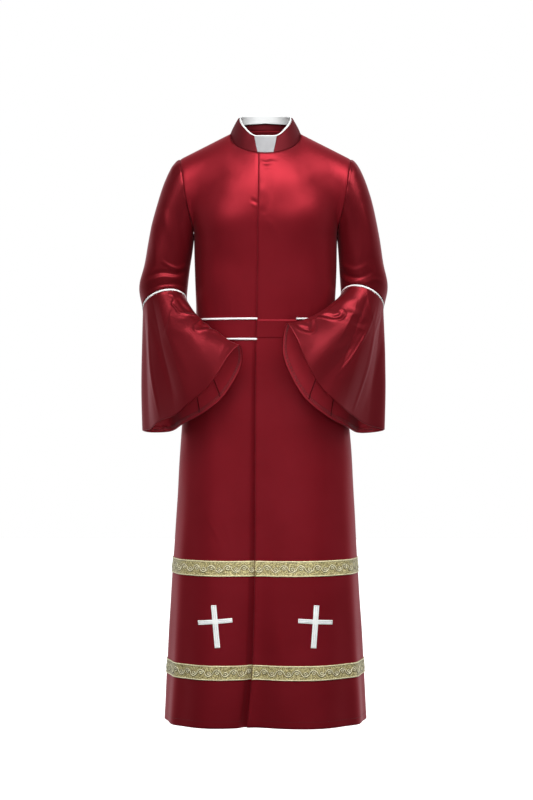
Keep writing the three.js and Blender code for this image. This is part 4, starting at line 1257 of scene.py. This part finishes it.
def creases_on(points, surface, table):
    """The relief of the creases in a table whose lines are places on a surface."""
    total = np.zeros(points.shape[:-1])
    for width, height, *line in table:
        path = smooth_line(line)
        total += crease(points, surface(path[:, 0], path[:, 1]), width, height)
    return total


def front_creases(points, normals, table):
    return creases(seen(points), table, 0.5) * smoothstep(-0.05, 0.3, -normals[..., 1])


def build_sleeve(name, sleeve):
    side = sleeve["side"]

    def upper(angle, along):
        return upper_sleeve_point(sleeve, angle, along)

    angles = np.arange(0, 360, 360 / SLEEVE_COLUMNS)
    down = np.linspace(0, 1 - (PIPING + SEAM) / ELBOW_SPEED, 100)

    def relief(points, normals):
        ends = smoothstep(0, 0.05, down) * smoothstep(1, 0.95, down)
        puckers = 0.7 * np.exp(-down[:, None] / 0.06) * np.sin(np.radians(angles[None, :]) * 17 + side)
        seam = 1.1 * np.exp(-((down[:, None] * ELBOW_SPEED / 4) ** 2))
        folds = (front_creases(points, normals, SLEEVE_CREASES[name])
                 + creases_on(points, upper, BACK_OF_SLEEVE) + undulation(points, 21 + side, 0.8, 200, 60))
        return folds * (0.2 + 0.8 * ends[:, None]) + puckers - seam

    points, normals = tube_patch(upper, angles, down, relief, side < 0)
    made = shell(f"sleeve_{name}_cloth", points, normals, CLOTH, closed=True)
    dress(made, SATIN_SLEEVE_SHADED, "burgundy_satin", f"sleeve_{name}", other_side=SATIN_BACK)
    build_bell(name, sleeve)

    ring = elbow_point(sleeve, np.arange(0, 360, 2.5))
    outward = unit(ring - np.array(sleeve["elbow"]) * (side, 1, 1))
    made = cord(f"sleeve_piping_{name}_cord", ring - outward * PIPING_INSET, outward, PIPING, closed=True)
    dress(made, PIPING_WHITE, "white_piping", f"sleeve_piping_{name}")


def build_bell(name, sleeve):
    side = sleeve["side"]

    def lower(station, along):
        return bell_point(sleeve, station, along)

    rim_points = len(sleeve["rim"])
    stations = np.arange(BELL_COLUMNS) * rim_points / BELL_COLUMNS
    below = np.concatenate([np.linspace((PIPING + SEAM) / BELL_SPEED, 0.45, 56),
                            np.linspace(0.465, 0.94, 30), np.linspace(0.945, 1, 9)])

    def relief(points, normals):
        top = smoothstep(0, 0.04, below)[:, None]
        folds = (front_creases(points, normals, BELL_CREASES[name])
                 + creases_on(points, lower, BACK_OF_BELL) + undulation(points, 31 + side, 0.9, 220, 60))
        return folds * (0.15 + 0.85 * top)

    points, normals = tube_patch(lower, stations, below, relief, side > 0)
    thick = CLOTH + 1.4 * smoothstep(HEM_SHARE - 0.004, HEM_SHARE, below)[:, None]
    made = shell(f"bell_{name}_cloth", points, normals, thick, closed=True)
    dress(made, SATIN_SLEEVE_SHADED, "burgundy_satin", f"bell_{name}", other_side=SATIN_BACK)

    lining = points - normals * thick[..., None]
    lining, inward = (np.concatenate([grid, grid[:, :1]], axis=1) for grid in (lining, -normals))

    def inside(station, along):
        row = np.interp(along, below, np.arange(len(below)))
        return sample_grid(lining, inward, row, np.asarray(station) / rim_points * BELL_COLUMNS)

    hem = [[(u, HEM_SHARE + below_edge) for u in np.linspace(0.05, rim_points - 0.05, 160)]
           for below_edge in (0.008, 0.022)]
    stitched(f"bell_{name}_hem_stitching", hem, inside, 0.3, 0.8, THREAD_RED_SHADED, "burgundy_satin",
             pitch=0.075, gap=0.012)
    seams = []
    for station, start in BELL_SEAMS:
        where, facing = inside(station + 0.25 * np.linspace(1, 0, 24), np.linspace(start, 0.985, 24))
        seams.append(tube_parts(where, facing, 1.7, 8, flatten=0.7))
    # the seams are drawn in the darker satin, as painted shade along their creases
    dress(join_parts(f"bell_{name}_seams", seams), SATIN_DULL_SHADED, "burgundy_satin")


# ---- Studio, in metres ----

ROOM_LIGHT = (0.09, 0.90)  # strength of the room's light from in front, and from the white wall behind
ROOM_TURN = (-0.45, 0.95)  # where it changes from the one to the other, as a share of the way along Y
FLOOR_HALF, FLOOR_Z = 8, -1.5


def light_room(scene):
    """Light from the room, which the camera sees as plain white."""
    world = bpy.data.worlds.new("studio")
    scene.world = world
    world.use_nodes = True
    tree = world.node_tree
    lit = tree.nodes["Background"]
    lit.inputs["Color"].default_value = (1, 1, 1, 1)
    direction = node(tree, "ShaderNodeTexCoord").outputs["Generated"]
    split = node(tree, "ShaderNodeSeparateXYZ", Vector=direction)
    strength = node(tree, "ShaderNodeMapRange", interpolation_type="SMOOTHSTEP", Value=split.outputs["Y"],
                    From_Min=ROOM_TURN[0], From_Max=ROOM_TURN[1], To_Min=ROOM_LIGHT[0],
                    To_Max=ROOM_LIGHT[1])
    tree.links.new(strength.outputs["Result"], lit.inputs["Strength"])
    white = node(tree, "ShaderNodeBackground", Color=(1, 1, 1, 1), Strength=1.0)
    rays = node(tree, "ShaderNodeLightPath")
    choice = node(tree, "ShaderNodeMixShader", Fac=rays.outputs["Is Camera Ray"])
    tree.links.new(lit.outputs[0], choice.inputs[1])
    tree.links.new(white.outputs[0], choice.inputs[2])
    tree.links.new(choice.outputs[0], tree.nodes["World Output"].inputs["Surface"])


def area_light(scene, name, location, target, size, energy, tall=None, mirrored=True):
    light = bpy.data.lights.new(name, "AREA")
    light.shape = "RECTANGLE"
    light.size = size
    light.size_y = tall or size
    light.energy = energy
    made = bpy.data.objects.new(name, light)
    made.location = location
    made.rotation_euler = (Vector(target) - Vector(location)).to_track_quat("-Z", "Y").to_euler()
    made.visible_glossy = mirrored
    scene.collection.objects.link(made)


def lay_floor(scene):
    mesh = bpy.data.meshes.new("floor")
    corners = [(x * FLOOR_HALF, y * FLOOR_HALF, FLOOR_Z) for x, y in ((-1, -1), (1, -1), (1, 1), (-1, 1))]
    mesh.from_pydata(corners, [], [(0, 1, 2, 3)])
    floor = bpy.data.objects.new("floor", mesh)
    scene.collection.objects.link(floor)
    material = new_material("pale_floor", Roughness=0.9, Base_Color=(0.95, 0.95, 0.95, 1),
                            Emission_Color=(1, 1, 1, 1), Emission_Strength=0.9)[0]
    floor.data.materials.append(material)
    floor.visible_diffuse = floor.visible_glossy = False


def place_camera(scene):
    data = bpy.data.cameras.new("camera")
    data.lens = 90
    data.sensor_width = 36
    data.clip_end = 60
    camera = bpy.data.objects.new("camera", data)
    camera.location = [place * MM for place in CAMERA]
    camera.rotation_euler = (math.pi / 2, 0, 0)
    scene.collection.objects.link(camera)
    scene.camera = camera


def build_studio(scene):
    scene.view_settings.view_transform = "Standard"
    scene.view_settings.look = "None"
    light_room(scene)
    area_light(scene, "key", (0.35, -2.0, 2.1), (0, 0, -0.2), 4.2, 135, 1.2)
    area_light(scene, "fill", (-1.8, -2.6, 0.9), (0, 0, -0.6), 1.4, 4)
    area_light(scene, "front", (0.1, -4.4, -0.6), (0, 0, -0.7), 3.6, 38, mirrored=False)
    area_light(scene, "near", (0.0, -1.0, -0.70), (0, 0, -0.70), 0.4, 4.4, mirrored=False)
    lay_floor(scene)
    place_camera(scene)


build_panels()
build_belt()
build_trims()
for cross_name, (cross_x, cross_z, cross_lean) in CROSSES.items():
    build_cross(cross_name, cloth_under_cross(cross_x, cross_z, math.radians(cross_lean)))
build_collar()
build_collar_tab()
build_collar_band()
for sleeve_name, sleeve_data in SLEEVES.items():
    build_sleeve(sleeve_name, sleeve_data)
build_studio(bpy.context.scene)
